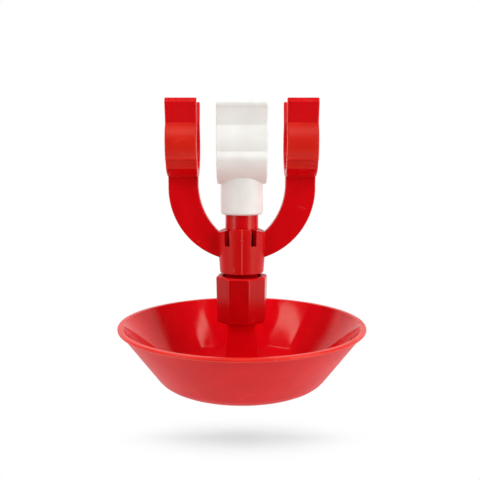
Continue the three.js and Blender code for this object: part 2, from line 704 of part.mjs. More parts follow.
function pinNut() {
  const cornerRadius = PIN_NUT_FLATS / 2 / Math.cos(Math.PI / PIN_NUT_SIDES);
  const hexagon = polygon(0, 0, cornerRadius, PIN_NUT_SIDES);
  const hole = polygon(0, 0, pinHole, ROUND / 2);
  return prism(hexagon, ALONG_Z, pinNutFoot, pinNutFoot + PIN_NUT_HEIGHT, [hole]);
}

// What stays on the clips
const hanger = new THREE.Group();
hanger.add(
  piece('saddle_clip', saddleClip(), WHITE_PLASTIC),
  piece('saddle_gasket', saddleGasket(), BLACK_RUBBER),
  piece('spigot_seal', spigotSeal(), BLACK_RUBBER),
  piece('inlet_filter', inletFilter(), WHITE_PLASTIC),
  piece('valve_body', valveBody(), RED_PLASTIC),
  piece('yoke', yoke(), RED_PLASTIC),
  piece('spring', spring(), STEEL),
);

// What rises and falls with the bowl
const spindle = new THREE.Group();
spindle.add(
  piece('valve_pin', valvePin(), STEEL),
  piece('valve_washer', valveWasher(), BLACK_RUBBER),
  piece('spring_cap', springCap(), WHITE_PLASTIC),
  piece('pin_washer', pinWasher(), STEEL),
  piece('pin_nut', pinNut(), STEEL),
);
const cup = new THREE.Group();
cup.add(piece('bowl', bowl(), RED_PLASTIC));
spindle.add(cup);

// What screws up and down the valve body
const adjuster = new THREE.Group();
adjuster.add(
  piece('slip_washer', slipWasher(), STEEL),
  piece('adjusting_nut', adjustingNut(), RED_PLASTIC),
);

const drinker = new THREE.Group();
drinker.add(hanger, spindle, adjuster);

export default drinker;
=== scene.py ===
"""Looks of a hanging cup drinker for poultry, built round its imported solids.

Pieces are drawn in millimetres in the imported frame: +Z up, front towards -Y, origin on the axis of
the clips' bores. Turned pieces are skins through rings of points. Angles round them start at the
front and go towards +X. Moulded sections are lofted along an axis and then joined.
"""

import math

import bmesh
import bpy
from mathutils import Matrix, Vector


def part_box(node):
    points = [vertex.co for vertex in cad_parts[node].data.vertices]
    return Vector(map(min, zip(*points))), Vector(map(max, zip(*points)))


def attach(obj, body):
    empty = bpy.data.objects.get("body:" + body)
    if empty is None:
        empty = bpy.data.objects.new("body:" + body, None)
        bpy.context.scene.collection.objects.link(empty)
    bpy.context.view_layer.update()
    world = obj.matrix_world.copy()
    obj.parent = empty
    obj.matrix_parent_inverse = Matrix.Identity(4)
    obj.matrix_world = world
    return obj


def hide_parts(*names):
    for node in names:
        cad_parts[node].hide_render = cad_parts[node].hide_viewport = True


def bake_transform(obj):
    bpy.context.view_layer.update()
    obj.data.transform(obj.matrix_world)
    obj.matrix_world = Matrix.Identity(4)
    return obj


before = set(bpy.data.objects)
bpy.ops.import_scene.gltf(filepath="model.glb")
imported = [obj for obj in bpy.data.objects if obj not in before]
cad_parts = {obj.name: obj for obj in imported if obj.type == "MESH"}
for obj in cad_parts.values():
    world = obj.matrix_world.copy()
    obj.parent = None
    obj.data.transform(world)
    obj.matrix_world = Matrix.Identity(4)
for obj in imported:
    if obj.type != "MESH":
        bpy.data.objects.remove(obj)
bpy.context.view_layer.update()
MM = 0.001


def extent(node):
    low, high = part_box(node)
    return low / MM, high / MM


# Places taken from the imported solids
SADDLE_LOW, SADDLE_HIGH = extent("saddle_clip")
YOKE_LOW = extent("yoke")[0]
BODY_LOW, BODY_HIGH = extent("valve_body")
NUT_LOW, NUT_HIGH = extent("adjusting_nut")
BOWL_LOW, BOWL_HIGH = extent("bowl")
SPRING_LOW, SPRING_HIGH = extent("spring")
PIN_LOW, PIN_HIGH = extent("valve_pin")

# Fits and clips. A room is the part of an arc, in degrees, that is left to the round beside it.
SEAT_GAP = 0.3
CLIP_BORE = 12.65
LIP_LEAN = math.radians(13.3)
LIP_THICKNESS = 2.4
THROAT_ROUND = 0.6
THROAT_ROOM = 4
CREASE_ROUND = 0.5
CREASE_ROOM = 5
SADDLE_CREASE_ROUND = 1.6
CLIP_EDGE = 0.75

# Round of a small edge, least radius at the axis, and how far a cutter goes past what it cuts
EDGE_BREAK = 0.3
AXIS = 0.01
CUT_OVER = 1.0

# Saddle clip
SADDLE_JAW = 15.6
SADDLE_WRAP = 33
SADDLE_BASE = 17.0
SADDLE_BASE_DROP = 2.2
LEDGE_TOP = 3.7
LEDGE_BOTTOM = 6.7
LEDGE_ROUND = 4.0
SADDLE_LIP = 10.9
LIP_BEAD_FOOT = 8.5
LIP_BEAD_PROUD = 0.6
LIP_BEAD_SLOPE = 0.5
LIP_BEAD_ROUND = 0.5
SADDLE_LIP_ROUND = 0.9
POCKET_RADIUS = 6.0
POCKET_FLOOR = -16.0
NOZZLE_RADIUS = 3.3
NOZZLE_TIP_RADIUS = 2.8
NOZZLE_TIP_ROUND = 0.4
NOZZLE_TOP = -9.8
PASSAGE_RADIUS = 2.0
SPIGOT_RADIUS = 10.3
SPIGOT_ROUND = 1.3
SPIGOT_BORE_END = -20.0
SPIGOT_LEAD_WIDTH = 0.5
SPIGOT_LEAD_LENGTH = 0.8
TUBE_BORE = 8.3

# Gasket. Its crown is drawn in (inset from the wall, drop below the hollow).
GASKET_BORE = 3.6
GASKET_RADIUS = 5.7
GASKET_EDGE = 0.2
GASKET_CROWN = ((0.0, 0.3), (0.1, 0.08), (0.4, 0.0))

# Yoke
CLIP_SPACING = 56.7
CLIP_WIDTH = 14.8
CLIP_JAW = 15.65
CLIP_WRAP = 38
CLIP_BASE = 16.2
CLIP_LIP = 11.2
CHAMFER_LENGTH = 1.3
CHAMFER_DEPTH = 1.85
CHAMFER_ROUNDS = (1.2, 0.6, 0.3)
BEAD_ANGLES = (45.7, 27.0)
BEAD_RADIUS = 1.0
BEAD_SINK = 0.4
BEAD_STEPS = 10
ARM_WIDTH = 14.4
ARM_THICKNESS = 5.6
ARM_ROUND = 0.55
ARM_TOP = -14.0
ARM_OUTER_CENTRE = -21.1
ARM_BEND_START = -19.0
ARM_INNER_BEND = 32.5
ARM_END = 9.6
COLLAR_TOP = -41.1
COLLAR_FOOT_RADIUS = 10.7
COLLAR_TOP_RADIUS = 12.05
COLLAR_REACH = 12.25
COLLAR_FOOT_ROUNDS = (0.2, 0.35)
COLLAR_TOP_ROUNDS = (0.6, 0.25)
COLLAR_SEAT = -57.0
THREAD_BORE = 8.85
FINGER_CROWN = 0.7
SLOT_ANGLE = 33.5
FINGER_TURN = -4
SLOT_WIDTH = 2.8
SLOT_DEPTH = 7.6
SNAP_LEVEL = -42.7
SNAP_BITE = 0.7
SNAP_FOOT_HALF = 0.6
SNAP_CREST_HALF = 0.3
RIDGE_PROUD = 0.13
RIDGE_WIDTH = 0.16
RIDGE_ANGLES = (0.25, 0.6, 1.1, 1.6, 2.4)
GATE_LEVEL = -45.8
GATE_RADIUS = 0.75
GATE_PROUD = 0.28
GATE_DOME = ((1.0, -1.0), (1.0, 0.0), (0.85, 0.55), (0.5, 0.9), (0.15, 1.0))
GATE_STEPS = 24
# Painted highlight on the parting ridge: off the middle, where its line starts and ends fading, and round
# the gate, where its spot starts fading
RIDGE_HIGHLIGHT_EDGE = (0.12, 0.42)
RIDGE_HIGHLIGHT_SPOT = 0.5

# Valve body and its thread. A thread's form is its crest's and its flank's share of the pitch.
TUBE_RADIUS = 8.05
TUBE_TOP_ROUND = 0.4
THREAD_CREST = 8.6
THREAD_ROOT = 7.95
THREAD_PITCH = 2.0
THREAD_FORM = (0.3, 0.2)
THREAD_STOP = 0.6
THREAD_RUN_OUT = 0.8
GROOVE_RADIUS = 7.3
GROOVE_HALF = 0.9
# How far below the collar's top the painted shade behind the slots ends
SLOT_SHADE_DROP = 0.5
# Reach of the painted shade round the neck between the nut and the collar
NECK_REACH = 1.5
FILTER_POCKET = 6.0
FILTER_FLOOR = -24.2
CHAMBER_RADIUS = 5.2
CHAMBER_ROUND = 0.4
WEB_TOP = -40.0
WEB_FOOT = -44.0
SEAT_TOP = -39.2
SEAT_RADIUS = 3.6
ORIFICE_RADIUS = 2.6
SPRING_BORE = 6.0

# Pin
PIN_RADIUS = 1.5
PIN_THREAD_TOP = -81.0
PIN_THREAD_PITCH = 0.5
PIN_THREAD_FORM = (0.12, 0.4)
PIN_THREAD_DEPTH = 0.28
PIN_THREAD_START = 0.2
PIN_RUN_OUT = 0.5
PIN_COLLAR = 2.1
PIN_COLLAR_HEIGHT = 1.0
PIN_COLLAR_ROUND = 0.15
PIN_HEAD = 3.6
PIN_HEAD_HEIGHT = 1.8
PIN_HEAD_ROUNDS = (0.2, 0.9)

# Lock nut. Its collar has a radius at the foot and one at the top, and its shoulder rises in three steps.
LOCK_NUT_BORE = 1.65
LOCK_NUT_LEAD = 0.2
LOCK_NUT_FLAT = 2.75
LOCK_NUT_CORNER = 3.3
LOCK_NUT_TOP = 2.85
LOCK_NUT_COLLAR = (2.3, 2.35)
LOCK_NUT_SHOULDER = (0.6, 0.62, 0.85)

# Spring
WIRE_RADIUS = 0.35
WIRE_SIDES = 10
COIL_RADIUS = 4.9
SPRING_TURNS = 9
SPRING_END_PITCH = 1.3

# Adjusting nut
NUT_SIDES = 8
NUT_TURN = 14.5
NUT_TOP_FLAT = 12.1
NUT_FOOT_FLAT = 11.69
NUT_EDGE_ROUND = 1.7
NUT_TOP_ROUND = 1.0
NUT_FOOT_ROUND = 1.4
NUT_RECESS = 9.54
NUT_RECESS_ROUND = 0.6
NUT_DISH = 0.45
NUT_DISH_RADIUS = 9.8
NUT_DISH_EDGE = 0.05
NUT_LEAD = 0.5
NUT_CREST = 8.25
NUT_THREAD_FORM = (0.14, 0.2)
NUT_THREAD_STOP = 1.2
NUT_RUN_OUT = 0.6
# Least upward tilt of the nut's top faces that get the painted highlight
NUT_LIT_TOP_TILT = 0.15
NUT_STEPS = (0.7, 1.4, 2.0, 2.6, 3.3, 4.2, 6, 10, 14, 18, 21)
FLANGE_TOP = -76.0
FLANGE_FOOT = -78.5
FLANGE_HOLE = 3.2
FLANGE_CORNER = 0.1

# Bowl
RIM_TOP = -88.3
RIM_RADIUS = 61.25
RIM_BAND = 1.65
RIM_STEP = 1.35
RIM_ROUND = 0.75
BOWL_WALL = 2.0
BOWL_WALL_ANGLE = math.radians(53.2)
FOOT_ROUND = 11.2
FLOOR_ROUND = 12.5
POST_HALF = (6.6, 6.0)
POST_DRAFT = 0.0505
POST_CORNER = 1.2
POST_FILLET = 0.9
POST_CROWN = 0.5
POST_STEPS = (1, 2, 3, 4, 5.2, 6.5, 8)
POST_STEP_GAP = 0.9
COLUMN_MARGIN = 2
PLATE_FOOT = -82.0
CAVITY_HALF = (4.7, 4.1)
CAVITY_CORNER = 0.6
CAVITY_ROUND = 0.4
CAVITY_BEND = 0.12
CAVITY_MOUTH = 0.1
PIN_HOLE = 1.75
PIN_HOLE_LEAD = 0.25
STAND_LAND = 2.0
STAND_INNER = 14.0
STAND_OUTER = 27.0
STAND_RECESS = 0.35
STAND_SLOPE = 0.5
INSIDE_MARGIN = 0.6
FLOOR_SLACK = 0.01

# Fineness
CORNER_STEPS = 5
ARC_STEPS = 24
ROUND = 96
BODY_ROUND = 72
PIN_ROUND = 48
BOWL_ROUND = 180
THREAD_ROWS = 16
PIN_THREAD_ROWS = 8
COLUMN_STEPS = 6
COIL_STEPS = 16
COIL_GLANCE = 0.002
SHARP_ANGLE = math.radians(33)
TIGHT_SHARE = 0.85
LEAST_MITRE = 0.5
LEAST_TURN = 1e-4
LEAST_SHARE = 1e-9
WELD = 1e-7
QUARTER_TURN = [math.pi / 2 * i / CORNER_STEPS for i in range(CORNER_STEPS + 1)]


def steps_between(first, last, count):
    return [first + (last - first) * i / count for i in range(count + 1)]


def arc(x, y, radius, first, last, count=ARC_STEPS):
    angles = [math.radians(angle) for angle in steps_between(first, last, count)]
    return [(x + radius * math.cos(angle), y + radius * math.sin(angle)) for angle in angles]


def rounded(corners, closed=True):
    """Outline through corners (x, y, radius), with a tangent arc where a radius is given."""
    points = []
    for i, (x, y, *radius) in enumerate(corners):
        if not radius or radius[0] == 0 or (not closed and i in (0, len(corners) - 1)):
            points.append((x, y))
            continue
        corner = Vector((x, y))
        back = (Vector(corners[i - 1][:2]) - corner).normalized()
        ahead = (Vector(corners[(i + 1) % len(corners)][:2]) - corner).normalized()
        half = math.acos(max(-1.0, min(1.0, back.dot(ahead)))) / 2
        centre = corner + (back + ahead).normalized() * (radius[0] / math.sin(half))
        reach = radius[0] / math.tan(half)
        start = corner + back * reach - centre
        end = corner + ahead * reach - centre
        first = math.degrees(math.atan2(start.y, start.x))
        sweep = (math.degrees(math.atan2(end.y, end.x)) - first + 180) % 360 - 180
        points += arc(centre.x, centre.y, radius[0], first, first + sweep, CORNER_STEPS)
    return points


def make_piece(name, points, faces):
    mesh = bpy.data.meshes.new(name)
    mesh.from_pydata([tuple(c * MM for c in point) for point in points], [], faces)
    build = bmesh.new()
    build.from_mesh(mesh)
    bmesh.ops.recalc_face_normals(build, faces=build.faces)
    build.to_mesh(mesh)
    build.free()
    piece = bpy.data.objects.new(name, mesh)
    bpy.context.collection.objects.link(piece)
    return piece


def skin(name, rings, loop=True):
    """Skin through rings of the same count. A loop joins the last ring to the first, and otherwise
    both end rings are closed by a face."""
    count = len(rings[0])
    points = [point for ring in rings for point in ring]
    faces = []
    for i in range(len(rings) if loop else len(rings) - 1):
        here, there = i * count, (i + 1) % len(rings) * count
        for j in range(count):
            k = (j + 1) % count
            faces.append((here + j, here + k, there + k, there + j))
    if not loop:
        faces.append(tuple(range(count)))
        faces.append(tuple(range(len(points) - count, len(points))))
    return make_piece(name, points, faces)


def even_angles(count=ROUND):
    return [2 * math.pi * i / count for i in range(count)]


def ring(angles, reach, level):
    """Ring of points. Reach and level are numbers, or functions of the angle."""
    points = []
    for angle in angles:
        radius = reach(angle) if callable(reach) else reach
        z = level(angle) if callable(level) else level
        points.append((radius * math.sin(angle), -radius * math.cos(angle), z))
    return points


def both_ways(steps):
    """Steps to both sides of zero, and zero."""
    return [*(-step for step in reversed(steps)), 0, *steps]


def turned_rings(angles, corners, closed=False):
    """Rings of a turned profile of corners (radius, z, round)."""
    return [ring(angles, r, z) for r, z in rounded(corners, closed)]


def turned(name, corners):
    return skin(name, turned_rings(even_angles(), corners, True))


def turned_core(name, corners):
    """Turned piece that is solid at its axis, from the profile between its foot and its top."""
    profile = [(AXIS, corners[0][1]), *corners, (AXIS, corners[-1][1])]
    return skin(name, turned_rings(even_angles(), profile), False)


def bend_radius(section, i):
    """Radius of a closed outline where it bends to the left, and otherwise no limit."""
    before = Vector(section[i]) - Vector(section[i - 1])
    after = Vector(section[(i + 1) % len(section)]) - Vector(section[i])
    turn = math.atan2(before.x * after.y - before.y * after.x, before.dot(after))
    return min(before.length, after.length) / turn if turn > LEAST_TURN else math.inf


def inset(section, share, edge):
    """Closed outline moved inwards by a share of an edge's round, where inwards is on the left of its
    direction. Bends tighter than the edge move less."""
    radii = [bend_radius(section, i) for i in range(len(section))]
    moved = []
    for i, point in enumerate(section):
        here = Vector(point)
        before = (here - Vector(section[i - 1])).normalized()
        after = (Vector(section[(i + 1) % len(section)]) - here).normalized()
        left = Vector((-before.y - after.y, before.x + after.x)).normalized()
        mitre = max(LEAST_MITRE, left.dot(Vector((-before.y, before.x))))
        tightest = min(radii[i - 1], radii[i], radii[(i + 1) % len(section)])
        moved.append(tuple(here + left * share * min(edge, TIGHT_SHARE * tightest) / mitre))
    return moved


def without_doubles(section, least=0.02):
    kept = []
    for point in section:
        if not kept or (Vector(point) - Vector(kept[-1])).length > least:
            kept.append(point)
    if (Vector(kept[0]) - Vector(kept[-1])).length <= least:
        kept.pop()
    return kept


def moulding(name, section, place, first, last, edge):
    """Section from first to last along an axis, with its end edges rounded. Place turns (u, v, along)
    into (x, y, z)."""
    section = without_doubles(section)
    area = sum(a[0] * b[1] - b[0] * a[1] for a, b in zip(section, section[1:] + section[:1]))
    if area < 0:
        section = section[::-1]
    rings = []
    for end, way in ((first, 1), (last, -1)):
        for angle in QUARTER_TURN[::way]:
            along = end + way * edge * (1 - math.cos(angle))
            outline = inset(section, 1 - math.sin(angle), edge)
            rings.append([place(u, v, along) for u, v in outline])
    return skin(name, rings, False)


def along_x(u, v, along):
    return along, u, v


def along_y(u, v, along):
    return u, along, v


def combine(piece, tool, operation):
    """Joins a tool to a piece, or cuts it out of the piece."""
    change = piece.modifiers.new(operation, "BOOLEAN")
    change.operation = operation
    change.solver = "EXACT"
    change.object = tool
    mesh = bpy.data.meshes.new_from_object(piece.evaluated_get(bpy.context.evaluated_depsgraph_get()))
    piece.modifiers.clear()
    piece.data = mesh
    bpy.data.objects.remove(tool)
    return piece


def settle_surface(piece):
    """Welds doubled points and shades the piece smoothly, with its true edges kept."""
    mesh = piece.data
    build = bmesh.new()
    build.from_mesh(mesh)
    bmesh.ops.remove_doubles(build, verts=build.verts, dist=WELD)
    bmesh.ops.dissolve_degenerate(build, edges=build.edges, dist=WELD)
    build.to_mesh(mesh)
    build.free()
    mesh.polygons.foreach_set("use_smooth", [True] * len(mesh.polygons))
    mesh.set_sharp_from_angle(angle=SHARP_ANGLE)
    weigh = piece.modifiers.new("even_faces", "WEIGHTED_NORMAL")
    weigh.keep_sharp = True


class Wire:
    """A shader value that takes arithmetic. Each operation adds a Math node."""

    def __init__(self, finish, socket):
        self.finish = finish
        self.socket = socket

    def _math(self, operation, first, second):
        return self.finish.add("ShaderNodeMath", {"operation": operation}, {0: first, 1: second})

    def __add__(self, other):
        return self._math("ADD", self, other)

    __radd__ = __add__

    def __sub__(self, other):
        return self._math("SUBTRACT", self, other)

    def __rsub__(self, other):
        return self._math("SUBTRACT", other, self)

    def __mul__(self, other):
        return self._math("MULTIPLY", self, other)

    __rmul__ = __mul__


class Finish:
    """A material, or the world, and the one way to add nodes to it."""

    def __init__(self, owner):
        owner.use_nodes = True
        self.owner = owner
        self.tree = owner.node_tree
        self.tree.nodes.clear()

    def add(self, kind, settings=None, sockets=None, output=0):
        node = self.tree.nodes.new(kind)
        for key, value in (settings or {}).items():
            setattr(node, key, value)
        for key, value in (sockets or {}).items():
            if isinstance(value, Wire):
                self.tree.links.new(value.socket, node.inputs[key])
            else:
                node.inputs[key].default_value = value
        return Wire(self, node.outputs[output]) if node.outputs else None


def srgb(red, green, blue):
    def linear(part):
        part /= 255
        return part / 12.92 if part <= 0.04045 else ((part + 0.055) / 1.055) ** 2.4

    return linear(red), linear(green), linear(blue), 1.0


WHITE = (1.0, 1.0, 1.0, 1.0)
WARM_GLOSS = (1.0, 0.88, 0.74, 1.0)
SCUFF_PALE = (0.75, 0.7, 0.68, 1.0)
# Pale orange of the painted highlight on the collar's parting ridge and round its gate
RIDGE_HIGHLIGHT_COLOUR = srgb(232, 96, 84)

# Moulded plastic: the noise levels at which a pattern starts and is full, and its shares
SWIRL_EDGE = (0.3, 0.7)
SWIRL_ROUGHNESS = 0.09
SWIRL_HEIGHT = 0.35
FINE_ROUGHNESS = 0.05
SCRATCH_EDGE = (0.64, 0.74)
PATCH_EDGE = (0.5, 0.68)
SCUFF_TINT = 0.1
SCUFF_DEPTH = 0.25


def mix_colour(finish, factor, first, second):
    return finish.add("ShaderNodeMix", {"data_type": "RGBA"}, {0: factor, 6: first, 7: second}, output=2)


def smooth_step(finish, value, low, high):
    return finish.add(
        "ShaderNodeMapRange",
        {"interpolation_type": "SMOOTHSTEP"},
        {"Value": value, "From Min": low, "From Max": high, "To Min": 0.0, "To Max": 1.0},
    )


def larger(finish, first, second):
    return finish.add("ShaderNodeMath", {"operation": "MAXIMUM"}, {0: first, 1: second})


def noise(finish, place, scale, detail, distortion=0.0):
    return finish.add("ShaderNodeTexNoise", None, {
        "Vector": place, "Scale": scale, "Detail": detail, "Distortion": distortion,
    })


def ridge_highlight_mask(finish, place):
    """Painted highlight: a pale line down the middle of the collar, along its parting ridge, with a spot
    round the gate.
    """
    across, height = (finish.add("ShaderNodeSeparateXYZ", None, {0: place}, output=axis) for axis in "XZ")
    off = finish.add("ShaderNodeMath", {"operation": "ABSOLUTE"}, {0: across})
    line = 1 - smooth_step(finish, off, *(width * MM for width in RIDGE_HIGHLIGHT_EDGE))
    above = height - GATE_LEVEL * MM
    away = across * across + above * above
    spot = 1 - smooth_step(finish, away, (RIDGE_HIGHLIGHT_SPOT * MM) ** 2, (GATE_RADIUS * MM) ** 2)
    return larger(finish, line, spot)


def moulded_plastic(name, pale, deep, roughness, peel, scuffed, specular=0.5, ridge_highlight=0.0, gloss=WARM_GLOSS):
    """Moulded plastic: pigment swirls, the mould's fine skin, and scuffs from handling. A share of painted
    highlight lays a paler line along the parting ridge down the middle of the collar, with a spot round the
    gate."""
    finish = Finish(bpy.data.materials.new(name))
    place = finish.add("ShaderNodeTexCoord", output="Object")
    swirl = noise(finish, place, 85.0, 3.0, 0.6)
    fine = noise(finish, place, 1900.0, 2.0)
    stretched = finish.add("ShaderNodeMapping", None, {
        "Vector": place, "Rotation": (0.5, 0.3, 0.9), "Scale": (160.0, 2600.0, 900.0),
    })
    scratch = noise(finish, stretched, 1.0, 2.0)
    patches = noise(finish, place, 140.0, 2.0)
    scuffs = smooth_step(finish, scratch, *SCRATCH_EDGE) * smooth_step(finish, patches, *PATCH_EDGE)
    colour = mix_colour(finish, smooth_step(finish, swirl, *SWIRL_EDGE), pale, deep)
    colour = mix_colour(finish, scuffs * SCUFF_TINT, colour, SCUFF_PALE)
    # Painted highlight on the parting ridge and round the gate
    if ridge_highlight:
        colour = mix_colour(finish, ridge_highlight_mask(finish, place) * ridge_highlight, colour, RIDGE_HIGHLIGHT_COLOUR)
    rough = roughness + (swirl - 0.5) * SWIRL_ROUGHNESS + (fine - 0.5) * FINE_ROUGHNESS + scuffs * scuffed
    skin_height = fine * peel + (swirl - 0.5) * SWIRL_HEIGHT - scuffs * SCUFF_DEPTH
    bump = finish.add("ShaderNodeBump", None, {"Strength": 0.12, "Distance": 0.0002, "Height": skin_height})
    shader = finish.add("ShaderNodeBsdfPrincipled", None, {
        "Base Color": colour,
        "Roughness": rough,
        "Normal": bump,
        "Specular IOR Level": specular,
        "Specular Tint": gloss,
    })
    finish.add("ShaderNodeOutputMaterial", None, {"Surface": shader})
    return finish.owner


def moulded_rubber(name):
    finish = Finish(bpy.data.materials.new(name))
    place = finish.add("ShaderNodeTexCoord", output="Object")
    bloom = noise(finish, place, 320.0, 4.0)
    grain = noise(finish, place, 4200.0, 2.0)
    colour = mix_colour(finish, smooth_step(finish, bloom, 0.4, 0.75), srgb(30, 30, 31), srgb(62, 61, 60))
    bump = finish.add("ShaderNodeBump", None, {"Strength": 0.3, "Distance": 0.0001, "Height": grain})
    shader = finish.add("ShaderNodeBsdfPrincipled", None, {
        "Base Color": colour, "Roughness": 0.62 + (bloom - 0.5) * 0.3, "Normal": bump,
    })
    finish.add("ShaderNodeOutputMaterial", None, {"Surface": shader})
    return finish.owner


def drawn_steel(name):
    finish = Finish(bpy.data.materials.new(name))
    place = finish.add("ShaderNodeTexCoord", output="Object")
    turning = finish.add("ShaderNodeMapping", None, {"Vector": place, "Scale": (500.0, 500.0, 9000.0)})
    lines = noise(finish, turning, 1.0, 3.0)
    tarnish = noise(finish, place, 260.0, 4.0)
    dulled = smooth_step(finish, tarnish, 0.35, 0.75)
    colour = mix_colour(finish, dulled, srgb(196, 197, 199), srgb(160, 157, 150))
    bump = finish.add("ShaderNodeBump", None, {"Strength": 0.15, "Distance": 0.00005, "Height": lines})
    shader = finish.add("ShaderNodeBsdfPrincipled", None, {
        "Base Color": colour, "Roughness": 0.24 + (tarnish - 0.4) * 0.25 + (lines - 0.5) * 0.12,
        "Metallic": 1.0, "Normal": bump,
    })
    finish.add("ShaderNodeOutputMaterial", None, {"Surface": shader})
    return finish.owner


# Name, pale and deep pigment, roughness, peel, scuffed, specular and painted ridge highlight of each red
# # finish. Some reds paint light or shade: the jaws' orange sheen, the rim's pale band, the bowl's paler
# inside,
# # and the darker reds in the gap under the collar and behind its slots.
REDS = {
    name: moulded_plastic("red_" + name, srgb(*pale), srgb(*deep), *values)
    for name, pale, deep, *values in (
        ("moulded", (208, 4, 14), (200, 1, 9), 0.28, 0.5, 0.2, 0.3),
        ("yoke", (213, 4, 14), (205, 1, 9), 0.28, 0.5, 0.2, 0.26),
        ("collar", (203, 4, 11), (195, 1, 7), 0.38, 0.5, 0.2, 0.22, 0.34),
        ("jaw_sheen", (212, 29, 13), (203, 21, 10), 0.4, 0.6, 0.15, 0.34),
        ("gap_shade", (176, 5, 11), (166, 3, 8), 0.6, 0.5, 0.2, 0.0),
        ("slot_shade", (74, 4, 6), (58, 2, 3), 0.6, 0.5, 0.2, 0.0),
        ("deep", (190, 3, 10), (182, 1, 7), 0.2, 0.4, 0.2, 0.27),
        ("satin", (215, 6, 16), (207, 2, 12), 0.42, 0.7, 0.18, 0.22),
        ("rim", (230, 38, 28), (222, 33, 24), 0.36, 0.4, 0.18, 0.36),
        ("polished_and_lit", (224, 6, 19), (216, 2, 15), 0.07, 0.1, 0.15, 0.3),
    )
}
WHITE_MOULDED = moulded_plastic(
    "white_moulded", srgb(240, 238, 233), srgb(233, 231, 225), 0.5, 0.5, 0.15, gloss=WHITE)
BLACK_RUBBER = moulded_rubber("black_rubber")
STEEL = drawn_steel("stainless_steel")


def faces_in_mm(piece):
    """Each face with its middle's x, y and z."""
    for face in piece.data.polygons:
        yield face, *(c / MM for c in face.center)


def fit(piece, node, body, slot, *finishes):
    """Gives a finished piece its surface and its body, and hides the solid that it stands for."""
    settle_surface(piece)
    piece.data.materials.clear()
    for finish in finishes:
        piece.data.materials.append(finish)
    if body:
        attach(piece, body)
    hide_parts(node)
    return piece


def clip_section(base, jaw, jaw_start, wrap, nose, crease_round):
    """Whole section of a clip, in (y, z), from the half that runs from the bottom of its base, up the
    outside, over the lip and down the bore."""
    crease = Vector(arc(0, 0, jaw, wrap, wrap, 1)[0])
    along = Vector((math.sin(LIP_LEAN), math.cos(LIP_LEAN)))
    across = Vector((math.cos(LIP_LEAN), -math.sin(LIP_LEAN)))

    def on_lip(reach, out, *round_off):
        return (*(crease + along * reach + across * out), *round_off)

    throat = on_lip(0, -LIP_THICKNESS)
    bore_start = math.degrees(math.acos(throat[0] / CLIP_BORE))
    half = [
        *base,
        *arc(0, 0, jaw, jaw_start, wrap - CREASE_ROOM),
        (*crease, crease_round),
        *(on_lip(*corner) for corner in nose),
        (*throat, THROAT_ROUND),
        *arc(0, 0, CLIP_BORE, bore_start - THROAT_ROOM, -90, 2 * ARC_STEPS),
    ]
    other = [(-corner[0], *corner[1:]) for corner in reversed(half[1:-1])]
    return rounded(half + other)


def saddle_clip():
    """Spring clip over a spigot, with a nozzle that stands in the gasket's pocket."""
    base_end = -math.degrees(math.asin((LEDGE_BOTTOM - SADDLE_BASE_DROP) / SADDLE_BASE))
    jaw_start = -math.degrees(math.asin(LEDGE_TOP / SADDLE_JAW))
    *base, shoulder = arc(0, -SADDLE_BASE_DROP, SADDLE_BASE, -90, base_end)
    base = [*base[:-2], (*shoulder, LEDGE_ROUND)]
    section = clip_section(base, SADDLE_JAW, jaw_start, SADDLE_WRAP, [
        (LIP_BEAD_FOOT - LIP_BEAD_SLOPE, 0, SADDLE_LIP_ROUND),
        (LIP_BEAD_FOOT + LIP_BEAD_SLOPE, LIP_BEAD_PROUD, LIP_BEAD_ROUND),
        (SADDLE_LIP, LIP_BEAD_PROUD, SADDLE_LIP_ROUND),
        (SADDLE_LIP, -LIP_THICKNESS, SADDLE_LIP_ROUND),
    ], SADDLE_CREASE_ROUND)
    foot = SADDLE_LOW.z
    piece = moulding("saddle_shell", section, along_x, SADDLE_LOW.x, SADDLE_HIGH.x, CLIP_EDGE)
    combine(piece, turned_core("spigot", [
        (SPIGOT_RADIUS, foot, SPIGOT_ROUND), (SPIGOT_RADIUS, POCKET_FLOOR),
    ]), "UNION")
    combine(piece, turned_core("pocket", [
        (POCKET_RADIUS, POCKET_FLOOR, EDGE_BREAK), (POCKET_RADIUS, 0),
    ]), "DIFFERENCE")
    combine(piece, turned_core("nozzle", [
        (NOZZLE_RADIUS, SPIGOT_BORE_END + CUT_OVER),
        (NOZZLE_RADIUS, -CLIP_BORE),
        (NOZZLE_TIP_RADIUS, NOZZLE_TOP, NOZZLE_TIP_ROUND),
    ]), "UNION")
    combine(piece, turned_core("passage", [
        (PASSAGE_RADIUS, SPIGOT_BORE_END - CUT_OVER), (PASSAGE_RADIUS, 0),
    ]), "DIFFERENCE")
    combine(piece, turned_core("bore", [
        (TUBE_BORE + SPIGOT_LEAD_WIDTH, foot - CUT_OVER),
        (TUBE_BORE + SPIGOT_LEAD_WIDTH, foot),
        (TUBE_BORE, foot + SPIGOT_LEAD_LENGTH),
        (TUBE_BORE, SPIGOT_BORE_END),
    ]), "DIFFERENCE")
    return fit(piece, "saddle_clip", "hanger", "white_plastic", WHITE_MOULDED)


